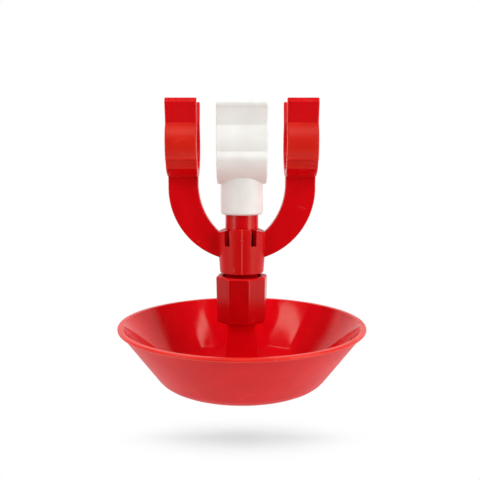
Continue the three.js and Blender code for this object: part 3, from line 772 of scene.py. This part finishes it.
def yoke_clip(side):
    """One spring clip, with two round beads down each side of its base."""
    centre = CLIP_JAW - BEAD_SINK

    def bead_span(radius):
        cosine = (radius ** 2 + centre ** 2 - BEAD_RADIUS ** 2) / (2 * radius * centre)
        return math.degrees(math.acos(cosine))

    def bead(angle, lower, upper):
        y, z = arc(0, 0, centre, -angle, -angle, 1)[0]
        ends = []
        for radius, way in ((lower, -1), (upper, 1)):
            end_y, end_z = arc(0, 0, radius, -angle + way * bead_span(radius), 0, 1)[0]
            ends.append(math.degrees(math.atan2(end_z - z, end_y - y)))
        return arc(y, z, BEAD_RADIUS, *ends, BEAD_STEPS)

    low, high = BEAD_ANGLES
    base = [
        *arc(0, 0, CLIP_BASE, -90, -low - bead_span(CLIP_BASE))[:-1],
        *bead(low, CLIP_BASE, CLIP_JAW),
        *bead(high, CLIP_JAW, CLIP_JAW)[:-1],
    ]
    outer_round, tip_round, inner_round = CHAMFER_ROUNDS
    section = clip_section(base, CLIP_JAW, -high + bead_span(CLIP_JAW), CLIP_WRAP, [
        (CLIP_LIP - CHAMFER_LENGTH, 0, outer_round),
        (CLIP_LIP, -CHAMFER_DEPTH, tip_round),
        (CLIP_LIP, -LIP_THICKNESS, inner_round),
    ], CREASE_ROUND)
    middle, half = side * CLIP_SPACING / 2, CLIP_WIDTH / 2
    return moulding("clip", section, along_x, middle - half, middle + half, CLIP_EDGE)


def yoke_arm(side):
    """One flat arm, from inside its clip's base to inside the collar's wall."""
    outer = (CLIP_SPACING + ARM_WIDTH) / 2
    inner = (CLIP_SPACING - ARM_WIDTH) / 2
    bend = inner - ARM_INNER_BEND
    outer_end = -math.degrees(math.acos(ARM_END / outer))
    inner_end = -math.degrees(math.acos((ARM_END - bend) / ARM_INNER_BEND))
    half = [
        *arc(0, ARM_OUTER_CENTRE, outer, outer_end, 0, 2 * ARC_STEPS),
        (outer, ARM_TOP),
        (inner, ARM_TOP),
        *arc(bend, ARM_BEND_START, ARM_INNER_BEND, 0, inner_end, ARC_STEPS),
    ]
    section = [(side * x, z) for x, z in half]
    return moulding("arm", section, along_y, -ARM_THICKNESS / 2, ARM_THICKNESS / 2, ARM_ROUND)


def yoke_collar():
    """Sleeve with the mould's parting ridge and gate mark, and with slots that free its fingers."""
    finger_half = COLLAR_TOP_RADIUS * math.sin(math.radians(SLOT_ANGLE))
    foot = YOKE_LOW.z
    profile = rounded([
        (THREAD_BORE, foot, COLLAR_FOOT_ROUNDS[0]),
        (COLLAR_FOOT_RADIUS, foot, COLLAR_FOOT_ROUNDS[1]),
        (COLLAR_TOP_RADIUS, COLLAR_TOP, COLLAR_TOP_ROUNDS[0]),
        (TUBE_BORE, COLLAR_TOP, COLLAR_TOP_ROUNDS[1]),
        (TUBE_BORE, SNAP_LEVEL + SNAP_FOOT_HALF),
        (TUBE_BORE - SNAP_BITE, SNAP_LEVEL + SNAP_CREST_HALF),
        (TUBE_BORE - SNAP_BITE, SNAP_LEVEL - SNAP_CREST_HALF),
        (TUBE_BORE, SNAP_LEVEL - SNAP_FOOT_HALF),
        (TUBE_BORE, COLLAR_SEAT),
        (THREAD_BORE, COLLAR_SEAT),
    ])

    def reach(radius):
        """Radius with the ridge down the middle of the front and the back."""
        outside = radius > (THREAD_BORE + COLLAR_FOOT_RADIUS) / 2

        def at(angle):
            across = radius * math.sin(angle) / RIDGE_WIDTH
            return radius + (RIDGE_PROUD * math.exp(-across ** 2) if outside else 0.0)

        return at

    def level(radius, z):
        share = max(0.0, 1 - (COLLAR_TOP - z) / SLOT_DEPTH)

        def at(angle):
            return z + share * FINGER_CROWN * (1 - (radius * math.sin(angle) / finger_half) ** 2)

        return at

    close = [math.radians(side * angle) for side in (-1, 1) for angle in RIDGE_ANGLES]
    angles = sorted({*even_angles(), *(a % (2 * math.pi) for a in close), *(math.pi + a for a in close)})
    piece = skin("yoke_shell", [ring(angles, reach(r), level(r, z)) for r, z in profile])
    for angle in (SLOT_ANGLE, -SLOT_ANGLE):
        turn = math.radians(FINGER_TURN + angle)
        across = Vector((math.cos(turn), math.sin(turn))) * SLOT_WIDTH / 2
        along = Vector((math.sin(turn), -math.cos(turn))) * 2 * COLLAR_TOP_RADIUS
        corners = [-along - across, -along + across, along + across, along - across]
        ends = COLLAR_TOP - SLOT_DEPTH, COLLAR_TOP + FINGER_CROWN + CUT_OVER
        slot = skin("slot", [[(*corner, z) for corner in corners] for z in ends], False)
        combine(piece, slot, "DIFFERENCE")
    draft = (COLLAR_TOP_RADIUS - COLLAR_FOOT_RADIUS) / (COLLAR_TOP - foot)
    front = COLLAR_FOOT_RADIUS + draft * (GATE_LEVEL - foot)
    rings = []
    for share, out in GATE_DOME:
        outline = arc(0, GATE_LEVEL, GATE_RADIUS * share, 0, 360, GATE_STEPS)[:-1]
        rings.append([(x, -front - GATE_PROUD * out, z) for x, z in outline])
    return combine(piece, skin("gate_mark", rings, False), "UNION")


def yoke():
    """Collar, arms and clips as one moulding, with a painted orange sheen on the clips' jaws."""
    piece = yoke_collar()
    for side in (-1, 1):
        combine(piece, yoke_arm(side), "UNION")
        combine(piece, yoke_clip(side), "UNION")
    fit(piece, "yoke", "hanger", "red_plastic", REDS["yoke"], REDS["jaw_sheen"], REDS["collar"])
    low = -CLIP_JAW * math.sin(math.radians(BEAD_ANGLES[0])) - BEAD_RADIUS / 2
    high = CLIP_JAW * math.sin(math.radians(CLIP_WRAP))
    jaw_sheen, collar = 1, 2
    for face, x, y, z in faces_in_mm(piece):
        if math.hypot(x, y) < COLLAR_REACH:
            face.material_index = collar
        # Painted sheen: the jaws' outer faces get a paler, more orange red
        elif low < z < high and math.hypot(y, z) > CLIP_JAW - CLIP_EDGE:
            face.material_index = jaw_sheen
    return piece


def thread_wave(z, pitch, angle, form):
    """Height from 0 to 1 of a flat-topped right-hand thread."""
    crest, flank = form
    away = abs((z / pitch - angle / (2 * math.pi) + 0.5) % 1 - 0.5)
    return max(0.0, min(1.0, (crest / 2 + flank - away) / flank))


def run_out(z, low, high, length):
    """Share of a thread's depth, which fades over a length at both ends."""
    return max(0.0, min(1.0, (z - low) / length, (high - z) / length))


def valve_body():
    """Tube with the filter's pocket, the valve's seat, a snap groove and the nut's thread."""
    shoulder = COLLAR_SEAT - SEAT_GAP
    foot, top = BODY_LOW.z, BODY_HIGH.z
    angles = even_angles(BODY_ROUND)

    def thread(z):
        depth = run_out(z, foot, NUT_HIGH.z - THREAD_STOP, THREAD_RUN_OUT)

        def at(angle):
            wave = thread_wave(z, THREAD_PITCH, angle, THREAD_FORM)
            return THREAD_ROOT + (THREAD_CREST - THREAD_ROOT) * wave * depth

        return at

    rows = steps_between(foot, shoulder, round((shoulder - foot) / THREAD_PITCH * THREAD_ROWS))
    rings = [ring(angles, SPRING_BORE + EDGE_BREAK, foot), ring(angles, THREAD_ROOT - EDGE_BREAK, foot)]
    rings += [ring(angles, thread(z), z) for z in rows]
    rings += turned_rings(angles, [
        (THREAD_CREST, shoulder),
        (TUBE_RADIUS, shoulder),
        (TUBE_RADIUS, SNAP_LEVEL - GROOVE_HALF),
        (GROOVE_RADIUS, SNAP_LEVEL - GROOVE_HALF),
        (GROOVE_RADIUS, SNAP_LEVEL + GROOVE_HALF),
        (TUBE_RADIUS, SNAP_LEVEL + GROOVE_HALF),
        (TUBE_RADIUS, top, TUBE_TOP_ROUND),
        (FILTER_POCKET, top, EDGE_BREAK),
        (FILTER_POCKET, FILTER_FLOOR),
        (CHAMBER_RADIUS, FILTER_FLOOR),
        (CHAMBER_RADIUS, WEB_TOP, CHAMBER_ROUND),
        (SEAT_RADIUS, WEB_TOP),
        (SEAT_RADIUS, SEAT_TOP, EDGE_BREAK),
        (ORIFICE_RADIUS, SEAT_TOP, EDGE_BREAK),
        (ORIFICE_RADIUS, WEB_FOOT),
        (SPRING_BORE, WEB_FOOT),
        (SPRING_BORE, foot + EDGE_BREAK),
    ])
    piece = skin("valve_shell", rings)
    fit(piece, "valve_body", "hanger", "red_plastic", REDS["moulded"], REDS["slot_shade"], REDS["gap_shade"])
    slot_shade, gap_shade = 1, 2
    for face, x, y, z in faces_in_mm(piece):
        if math.hypot(x, y) < GROOVE_RADIUS - EDGE_BREAK:
            continue
        # Painted shade: a dark red on the tube where it shows through the collar's slots
        if shoulder < z < COLLAR_TOP - SLOT_SHADE_DROP:
            face.material_index = slot_shade
        # Painted shade: a darker red without gloss on the neck between the nut and the collar
        elif NUT_HIGH.z - NECK_REACH < z < YOKE_LOW.z + NECK_REACH:
            face.material_index = gap_shade
    return piece


def octagon(flat, edge):
    """Reach of a regular octagon with rounded corners, as a function of the angle."""
    half = math.pi / NUT_SIDES
    centre = (flat - edge) / math.cos(half)
    bend = math.atan2((flat - edge) * math.tan(half), flat)

    def at(angle):
        off_corner = (angle - math.radians(NUT_TURN) + half) % (2 * half) - half
        off_flat = half - abs(off_corner)
        if off_flat <= bend:
            return flat / math.cos(off_flat)
        return centre * math.cos(off_corner) + math.sqrt(edge ** 2 - (centre * math.sin(off_corner)) ** 2)

    return at


def adjusting_nut():
    """Octagonal nut with a dished top and, inside, the flange that carries the spring."""
    foot, top = NUT_LOW.z, NUT_HIGH.z
    corners = [NUT_TURN + 360 / NUT_SIDES * i for i in range(NUT_SIDES)]
    angles = [math.radians(corner + step) for corner in corners for step in both_ways(NUT_STEPS)]

    def thread(z):
        depth = run_out(z, FLANGE_TOP, top - NUT_THREAD_STOP, NUT_RUN_OUT)

        def at(angle):
            wave = thread_wave(z + THREAD_PITCH / 2, THREAD_PITCH, angle, NUT_THREAD_FORM)
            return THREAD_BORE - (THREAD_BORE - NUT_CREST) * wave * depth

        return at

    outside = rounded([
        (NUT_RECESS, foot),
        (NUT_FOOT_FLAT, foot, NUT_FOOT_ROUND),
        (NUT_TOP_FLAT, top, NUT_TOP_ROUND),
        (THREAD_BORE, top),
    ], False)[1:-1]
    rings = [ring(angles, NUT_RECESS + EDGE_BREAK, foot)]
    rings += [ring(angles, octagon(flat, NUT_EDGE_ROUND), z) for flat, z in outside]
    rings.append(ring(angles, NUT_DISH_RADIUS, top - NUT_DISH_EDGE))
    rings.append(ring(angles, THREAD_BORE + NUT_LEAD, top - NUT_DISH))
    entry = top - NUT_DISH - NUT_LEAD
    rows = steps_between(entry, FLANGE_TOP, round((entry - FLANGE_TOP) / THREAD_PITCH * THREAD_ROWS))
    rings += [ring(angles, thread(z), z) for z in rows]
    rings += turned_rings(angles, [
        (THREAD_BORE - FLANGE_CORNER, FLANGE_TOP),
        (FLANGE_HOLE, FLANGE_TOP, EDGE_BREAK),
        (FLANGE_HOLE, FLANGE_FOOT, EDGE_BREAK),
        (NUT_RECESS, FLANGE_FOOT, NUT_RECESS_ROUND),
        (NUT_RECESS, foot + EDGE_BREAK),
    ])
    piece = skin("nut_shell", rings)
    fit(piece, "adjusting_nut", "level_nut", "red_plastic", REDS["deep"], REDS["satin"], REDS["gap_shade"])
    satin, gap_shade = 1, 2
    for face, x, y, z in faces_in_mm(piece):
        # Painted shade: a darker red without gloss in the nut's dish under the collar
        if z > top - NECK_REACH and math.hypot(x, y) < NUT_DISH_RADIUS:
            face.material_index = gap_shade
        # Painted highlight: the paler satin red on the upward faces of the top's rounding
        elif z > top - NUT_TOP_ROUND and face.normal.z > NUT_LIT_TOP_TILT:
            face.material_index = satin
    return piece


def rounded_box(half, corner):
    """Reach of a rectangle with rounded corners, as a function of the angle."""
    half_x, half_y = half
    middle = Vector((half_x - corner, half_y - corner))

    def at(angle):
        way = Vector((abs(math.sin(angle)), abs(math.cos(angle))))
        if way.x > LEAST_SHARE and half_x * way.y / way.x <= middle.y:
            return half_x / way.x
        if way.y > LEAST_SHARE and half_y * way.x / way.y <= middle.x:
            return half_y / way.y
        ahead = middle.dot(way)
        return ahead + math.sqrt(max(0.0, ahead ** 2 - middle.length_squared + corner ** 2))

    return at


def drafted_box(half, corner, start):
    """Reach of a rounded rectangle that widens with the post's draft, as a function of the level."""
    def at(z, out=0.0):
        grow = POST_DRAFT * (start - z) + out
        return rounded_box([side + grow for side in half], corner + max(0.0, out))

    return at


def bowl():
    """Conical bowl with a rim band, a stand ring under its floor and a hollow post."""
    foot, top = BOWL_LOW.z, BOWL_HIGH.z
    floor = foot + BOWL_WALL
    slope = math.tan(BOWL_WALL_ANGLE)
    band_foot = RIM_TOP - RIM_BAND
    wall_top = RIM_RADIUS - RIM_STEP
    foot_corner = wall_top - (band_foot - foot) / slope
    floor_corner = foot_corner - BOWL_WALL * math.tan(BOWL_WALL_ANGLE / 2)
    rim_inner = floor_corner + (RIM_TOP - floor) / slope
    corner = math.degrees(math.atan2(*POST_HALF))
    corners = (corner, 180 - corner, 180 + corner, 360 - corner)
    close = [math.radians(angle + step) for angle in corners for step in both_ways(POST_STEPS)]
    gap = math.radians(POST_STEP_GAP)
    far = [a for a in even_angles(BOWL_ROUND) if min(abs(a - b) for b in close) > gap]
    angles = sorted(far + close)
    post = drafted_box(POST_HALF, POST_CORNER, top)
    cavity = drafted_box(CAVITY_HALF, CAVITY_CORNER, PLATE_FOOT)
    hollow = [
        (PIN_HOLE, PLATE_FOOT),
        (cavity(PLATE_FOOT, -CAVITY_ROUND), PLATE_FOOT),
        (cavity(PLATE_FOOT - CAVITY_BEND, -CAVITY_BEND), PLATE_FOOT - CAVITY_BEND),
        (cavity(PLATE_FOOT - CAVITY_ROUND), PLATE_FOOT - CAVITY_ROUND),
        (cavity(foot + CAVITY_ROUND), foot + CAVITY_ROUND),
        (cavity(foot + CAVITY_MOUTH, CAVITY_BEND), foot + CAVITY_MOUTH),
        (cavity(foot, CAVITY_ROUND), foot),
    ]
    shell = rounded([
        (STAND_INNER - STAND_LAND, foot),
        (STAND_INNER, foot, EDGE_BREAK),
        (STAND_INNER + STAND_SLOPE, foot + STAND_RECESS, EDGE_BREAK),
        (STAND_OUTER - STAND_SLOPE, foot + STAND_RECESS, EDGE_BREAK),
        (STAND_OUTER, foot, EDGE_BREAK),
        (foot_corner, foot, FOOT_ROUND),
        (wall_top, band_foot, EDGE_BREAK),
        (RIM_RADIUS, band_foot, RIM_ROUND),
        (RIM_RADIUS, RIM_TOP, RIM_ROUND),
        (rim_inner, RIM_TOP, RIM_ROUND),
        (floor_corner, floor, FLOOR_ROUND),
        (STAND_INNER, floor),
    ], False)
    fillet, crown = [], []
    for turn in QUARTER_TURN:
        z = floor + POST_FILLET * (1 - math.cos(turn))
        fillet.append((post(z, POST_FILLET * (1 - math.sin(turn))), z))
        z = top - POST_CROWN * (1 - math.sin(turn))
        crown.append((post(z, -POST_CROWN * (1 - math.cos(turn))), z))
    column_foot, column_top = floor + POST_FILLET + COLUMN_MARGIN, top - COLUMN_MARGIN
    column = [(post(z), z) for z in steps_between(column_foot, column_top, COLUMN_STEPS)]
    lead = [(PIN_HOLE + PIN_HOLE_LEAD, top), (PIN_HOLE, top - PIN_HOLE_LEAD)]
    rings = [ring(angles, r, z) for r, z in hollow + shell + fillet + column + crown + lead]
    piece = skin("bowl_shell", rings)
    fit(piece, "bowl", "cup", "red_plastic", REDS["satin"], REDS["polished_and_lit"], REDS["rim"])
    polished_and_lit, rim = 1, 2
    for face, x, y, z in faces_in_mm(piece):
        reach = math.hypot(x, y)
        inside = z > floor - FLOOR_SLACK and reach < floor_corner + (z - floor) / slope + INSIDE_MARGIN
        in_rim = z > band_foot and reach > rim_inner
        # Painted highlight: the rim band gets a paler, orange red
        if in_rim:
            face.material_index = rim
        # Inside the bowl the red is glossier, and its paler pigment is painted light
        elif inside:
            face.material_index = polished_and_lit
    return piece


def saddle_gasket():
    """Ring that is hollowed on top to the curve of the clip's bore."""
    angles = even_angles()
    low = extent("saddle_gasket")[0].z

    def hollow(radius, drop):
        def at(angle):
            return -drop - math.sqrt((CLIP_BORE - SEAT_GAP) ** 2 - (radius * math.cos(angle)) ** 2)

        return at

    outline = [(GASKET_BORE + GASKET_EDGE, low), (GASKET_RADIUS - GASKET_EDGE, low)]
    outline.append((GASKET_RADIUS, low + GASKET_EDGE))
    crown = [(GASKET_RADIUS - aside, drop) for aside, drop in GASKET_CROWN]
    crown += [(GASKET_BORE + aside, drop) for aside, drop in reversed(GASKET_CROWN)]
    outline += [(radius, hollow(radius, drop)) for radius, drop in crown]
    outline.append((GASKET_BORE, low + GASKET_EDGE))
    piece = skin("gasket_ring", [ring(angles, radius, level) for radius, level in outline])
    return fit(piece, "saddle_gasket", "hanger", "black_rubber", BLACK_RUBBER)


def flat_ring(name, node, body, slot, finish, hole, edge):
    """Flat ring with rounded edges, in the box of its solid."""
    low, high = extent(node)
    piece = turned(name, [
        (hole, low.z, edge), (high.x, low.z, edge), (high.x, high.z, edge), (hole, high.z, edge),
    ])
    return fit(piece, node, body, slot, finish)


def valve_pin():
    """Pin with a domed head, a bearing collar and a fine thread at its foot."""
    foot, top = PIN_LOW.z, PIN_HIGH.z
    angles = even_angles(PIN_ROUND)

    def thread(z):
        depth = run_out(z, foot + PIN_THREAD_START, PIN_THREAD_TOP, PIN_RUN_OUT)

        def at(angle):
            wave = thread_wave(z, PIN_THREAD_PITCH, angle, PIN_THREAD_FORM)
            return PIN_RADIUS - PIN_THREAD_DEPTH * (1 - wave) * depth

        return at

    count = round((PIN_THREAD_TOP - foot) / PIN_THREAD_PITCH * PIN_THREAD_ROWS)
    rows = steps_between(foot + EDGE_BREAK, PIN_THREAD_TOP, count)
    rings = [ring(angles, AXIS, foot), ring(angles, PIN_RADIUS - EDGE_BREAK, foot)]
    rings += [ring(angles, thread(z), z) for z in rows]
    collar_foot, collar_top = WEB_FOOT, WEB_FOOT + PIN_COLLAR_HEIGHT
    head = top - PIN_HEAD_HEIGHT
    rings += turned_rings(angles, [
        (PIN_RADIUS, PIN_THREAD_TOP + PIN_RUN_OUT),
        (PIN_RADIUS, collar_foot),
        (PIN_COLLAR, collar_foot, PIN_COLLAR_ROUND),
        (PIN_COLLAR, collar_top, PIN_COLLAR_ROUND),
        (PIN_RADIUS, collar_top),
        (PIN_RADIUS, head),
        (PIN_HEAD, head, PIN_HEAD_ROUNDS[0]),
        (PIN_HEAD, top, PIN_HEAD_ROUNDS[1]),
        (AXIS, top),
    ])
    piece = skin("pin_shaft", rings, False)
    return fit(piece, "valve_pin", "spindle", "stainless_steel", STEEL)


def spring():
    """Coil in two halves that meet in its middle."""
    low, high = SPRING_LOW.z + WIRE_RADIUS, SPRING_HIGH.z - WIRE_RADIUS
    pitch = (high - low - 2 * SPRING_END_PITCH) / (SPRING_TURNS - 2)

    def line(turn):
        ends = min(turn, 1) + max(turn - SPRING_TURNS + 1, 0)
        body = min(max(turn - 1, 0), SPRING_TURNS - 2)
        angle = 2 * math.pi * turn
        z = low + ends * SPRING_END_PITCH + body * pitch
        return Vector((COIL_RADIUS * math.cos(angle), COIL_RADIUS * math.sin(angle), z))

    def half(name, first, last, body, end):
        rings = []
        for turn in steps_between(first, last, COIL_STEPS * SPRING_TURNS):
            here = line(turn)
            ahead = (line(turn + COIL_GLANCE) - line(turn - COIL_GLANCE)).normalized()
            out = Vector((here.x, here.y, 0)).normalized()
            up = ahead.cross(out).normalized()
            out = up.cross(ahead)
            rings.append([
                tuple(here + WIRE_RADIUS * (out * math.cos(a) + up * math.sin(a)))
                for a in even_angles(WIRE_SIDES)
            ])
        piece = fit(skin(name, rings, False), "spring", None, "stainless_steel", STEEL)
        end * MM
        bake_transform(piece)

    half("spring_top", SPRING_TURNS / 2, SPRING_TURNS, "spindle", high)
    half("spring_foot", 0, SPRING_TURNS / 2, "spring_rest", low)


def pin_nut():
    """Hexagon nut with chamfered corners above a round locking collar."""
    foot, top = (corner.z for corner in extent("pin_nut"))
    half = math.pi / 6
    angles = even_angles()

    def hexagon(cut):
        def at(angle):
            off = (angle - math.pi / 2 + half) % (2 * half) - half
            return min(LOCK_NUT_FLAT / math.cos(half - abs(off)), cut)

        return at

    collar_top, seat, corner = (foot + rise for rise in LOCK_NUT_SHOULDER)
    outline = [
        (LOCK_NUT_BORE, foot + LOCK_NUT_LEAD),
        (LOCK_NUT_BORE + LOCK_NUT_LEAD, foot),
        (LOCK_NUT_COLLAR[0], foot),
        (LOCK_NUT_COLLAR[1], collar_top),
        (hexagon(LOCK_NUT_FLAT), seat),
        (hexagon(LOCK_NUT_CORNER), corner),
        (hexagon(LOCK_NUT_CORNER), top - LOCK_NUT_LEAD),
        (hexagon(LOCK_NUT_TOP), top),
        (LOCK_NUT_BORE + LOCK_NUT_LEAD, top),
        (LOCK_NUT_BORE, top - LOCK_NUT_LEAD),
    ]
    piece = skin("lock_nut", [ring(angles, reach, z) for reach, z in outline])
    return fit(piece, "pin_nut", "spindle", "stainless_steel", STEEL)


saddle_clip()
yoke()
valve_body()
adjusting_nut()
bowl()
saddle_gasket()
flat_ring("seal_ring", "spigot_seal", "hanger", "black_rubber", BLACK_RUBBER, hole=3.2, edge=0.25)
flat_ring("valve_disc", "valve_washer", "spindle", "black_rubber", BLACK_RUBBER, hole=1.65, edge=0.25)
flat_ring("spring_washer", "slip_washer", "spring_rest", "stainless_steel", STEEL, hole=2.9, edge=0.2)
flat_ring("plate_washer", "pin_washer", "spindle", "stainless_steel", STEEL, hole=1.65, edge=0.12)
valve_pin()
spring()
pin_nut()
for node in ("inlet_filter", "spring_cap"):
    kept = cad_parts[node]
    kept.data.materials.clear()
    kept.data.materials.append(WHITE_MOULDED)


# Floor and camera, in metres
FLOOR_DROP = 0.1485
FLOOR_HALF = 1.0
FLOOR_FADE = (0.22, 0.32)
SHADOW_REACH = 0.12
SHADE_TILT = math.radians(10)
SHADE_SAMPLES = 64
SHADOW_EDGE = (0.8, 0.93)
SHADOW_DEPTH = 0.33
LAMP_TARGET = Vector((0, 0, -0.06))
CAMERA_PLACE = (-0.0009, -0.3256, -0.00655)
CAMERA_TILT = 7.03
FOCAL_LENGTH = 50
SENSOR_WIDTH = 36

# Room. A pair is where an edge starts and ends, in the part of a direction that points along an axis.
ROOM_DIM = 0.06
WALL_TOP = (0.34, 0.5)
WALL_FRONT = (-0.75, -0.25)
LEFT_WALL = 0.55
LEFT_WALL_EDGE = (-0.95, -0.8)
GROUND_TOP = (-0.6, -0.4)
BACKDROP_TOP = (0.68, 0.78)
BACKDROP_FRONT = (0.6, 0.72)
WING_TOP = (0.62, 0.7)
WING_FRONT = (0.98, 1.05)
WING_RISE = 1.09
WING_TURN = 0.04


def seen_ray(finish):
    """1 for what the camera sees, also in a mirror or through glass, and 0 for scattered light."""
    camera, mirror, through = (
        finish.add("ShaderNodeLightPath", output=ray)
        for ray in ("Is Camera Ray", "Is Glossy Ray", "Is Transmission Ray")
    )
    return camera + mirror + through


def studio_floor():
    """White glowing sheet under the object, which fades into the white room. Its shadow is painted into the
    glow, and darkens it where the object hides the sheet both towards the front and towards the back."""
    half = FLOOR_HALF / MM
    corners = ((-half, -half), (half, -half), (half, half), (-half, half))
    floor = make_piece("studio_floor", [(*corner, -FLOOR_DROP / MM) for corner in corners], [(0, 1, 2, 3)])
    finish = Finish(bpy.data.materials.new("pale_floor"))

    def open_towards(side):
        way = finish.add("ShaderNodeCombineXYZ", None, {
            "Y": side * math.cos(SHADE_TILT), "Z": math.sin(SHADE_TILT),
        })
        return finish.add("ShaderNodeAmbientOcclusion", {"samples": SHADE_SAMPLES}, {
            "Distance": SHADOW_REACH, "Normal": way,
        }, output="AO")

    # Painted shadow, from the occlusion towards the front and towards the back
    shadow = 1 - smooth_step(finish, larger(finish, open_towards(-1), open_towards(1)), *SHADOW_EDGE)
    plain = finish.add("ShaderNodeEmission", None, {"Color": WHITE})
    shaded = finish.add("ShaderNodeEmission", None, {"Color": 1 - SHADOW_DEPTH * shadow})
    sheet = finish.add("ShaderNodeMixShader", None, {0: seen_ray(finish), 1: plain, 2: shaded})
    place = finish.add("ShaderNodeTexCoord", output="Object")
    away = finish.add("ShaderNodeVectorMath", {"operation": "LENGTH"}, {0: place}, output="Value")
    clear = finish.add("ShaderNodeBsdfTransparent")
    under = finish.add("ShaderNodeNewGeometry", output="Backfacing")
    unseen = larger(finish, smooth_step(finish, away, *FLOOR_FADE), under)
    faded = finish.add("ShaderNodeMixShader", None, {0: unseen, 1: sheet, 2: clear})
    finish.add("ShaderNodeOutputMaterial", None, {"Surface": faded})
    floor.data.materials.append(finish.owner)


def studio_world():
    """Plain white to the camera. Gloss, glass and scattered light meet a room with a white ground, white
    walls and a white backdrop, whose upper edge slants at the sides, and with a dim ceiling and front."""
    world = bpy.data.worlds.new("studio")
    bpy.context.scene.world = world
    finish = Finish(world)
    way = finish.add("ShaderNodeTexCoord", output="Generated")
    x, y, z = (finish.add("ShaderNodeSeparateXYZ", None, {0: way}, output=axis) for axis in "XYZ")

    def past(value, edge):
        return smooth_step(finish, value, *edge)

    wall = (1 - past(z, WALL_TOP)) * past(y, WALL_FRONT)
    wall = wall * (LEFT_WALL + (1 - LEFT_WALL) * past(x, LEFT_WALL_EDGE))
    ground = 1 - past(z, GROUND_TOP)
    backdrop = (1 - past(z, BACKDROP_TOP)) * past(y, BACKDROP_FRONT)
    wing = past(y + WING_RISE * z + WING_TURN * x, WING_FRONT) * (1 - past(z, WING_TOP))
    bright = larger(finish, larger(finish, wall, ground), larger(finish, backdrop, wing))
    camera = finish.add("ShaderNodeLightPath", output="Is Camera Ray")
    strength = camera + (1 - camera) * (ROOM_DIM + (1 - ROOM_DIM) * bright)
    light = finish.add("ShaderNodeBackground", None, {"Color": WHITE, "Strength": strength})
    finish.add("ShaderNodeOutputWorld", None, {"Surface": light})


def soft_box(name, place, width, height, watts):
    lamp = bpy.data.lights.new(name, "AREA")
    lamp.shape = "RECTANGLE"
    lamp.size = width
    lamp.size_y = height
    lamp.energy = watts
    box = bpy.data.objects.new(name, lamp)
    bpy.context.collection.objects.link(box)
    box.location = place
    aim = LAMP_TARGET - Vector(place)
    box.rotation_euler = aim.to_track_quat("-Z", "Y").to_euler()
    return box


def strip_light(name, place, heading, length, width, watts):
    """Narrow lamp that faces down and runs towards a heading, in degrees from +X."""
    box = soft_box(name, place, length, width, watts)
    box.rotation_euler = (0, 0, math.radians(heading))


def place_camera():
    lens = bpy.data.cameras.new("camera")
    lens.lens = FOCAL_LENGTH
    lens.sensor_width = SENSOR_WIDTH
    camera = bpy.data.objects.new("camera", lens)
    bpy.context.collection.objects.link(camera)
    camera.location = CAMERA_PLACE
    camera.rotation_euler = (math.radians(90 - CAMERA_TILT), 0, 0)
    bpy.context.scene.camera = camera


studio_floor()
studio_world()
# The overhead boxes light the mouldings, and only the strips show in their gloss
for overhead in (
    soft_box("left_overhead_box", (-0.6, -0.16, 0.6), 0.4, 0.5, 2.2),
    soft_box("right_overhead_box", (0.43, -0.3, 0.72), 0.25, 0.42, 2.0),
    soft_box("ceiling_box", (-0.02, 0.06, 0.8), 0.6, 0.24, 1.9),
):
    overhead.visible_glossy = False
strip_light("left_strip", (-0.52, -0.125, 0.6), 141, 0.46, 0.05, 0.37)
strip_light("right_strip", (0.475, -0.187, 0.6), 26, 0.3, 0.034, 0.18)
soft_box("top_box", (0.0, -0.62, 0.6), 0.5, 0.3, 1.6)
soft_box("left_box", (-0.72, -0.48, 0.04), 0.24, 0.72, 2.3)
soft_box("right_box", (0.72, -0.48, 0.04), 0.3, 0.72, 3.9)
place_camera()
bpy.context.scene.view_settings.view_transform = "Standard"
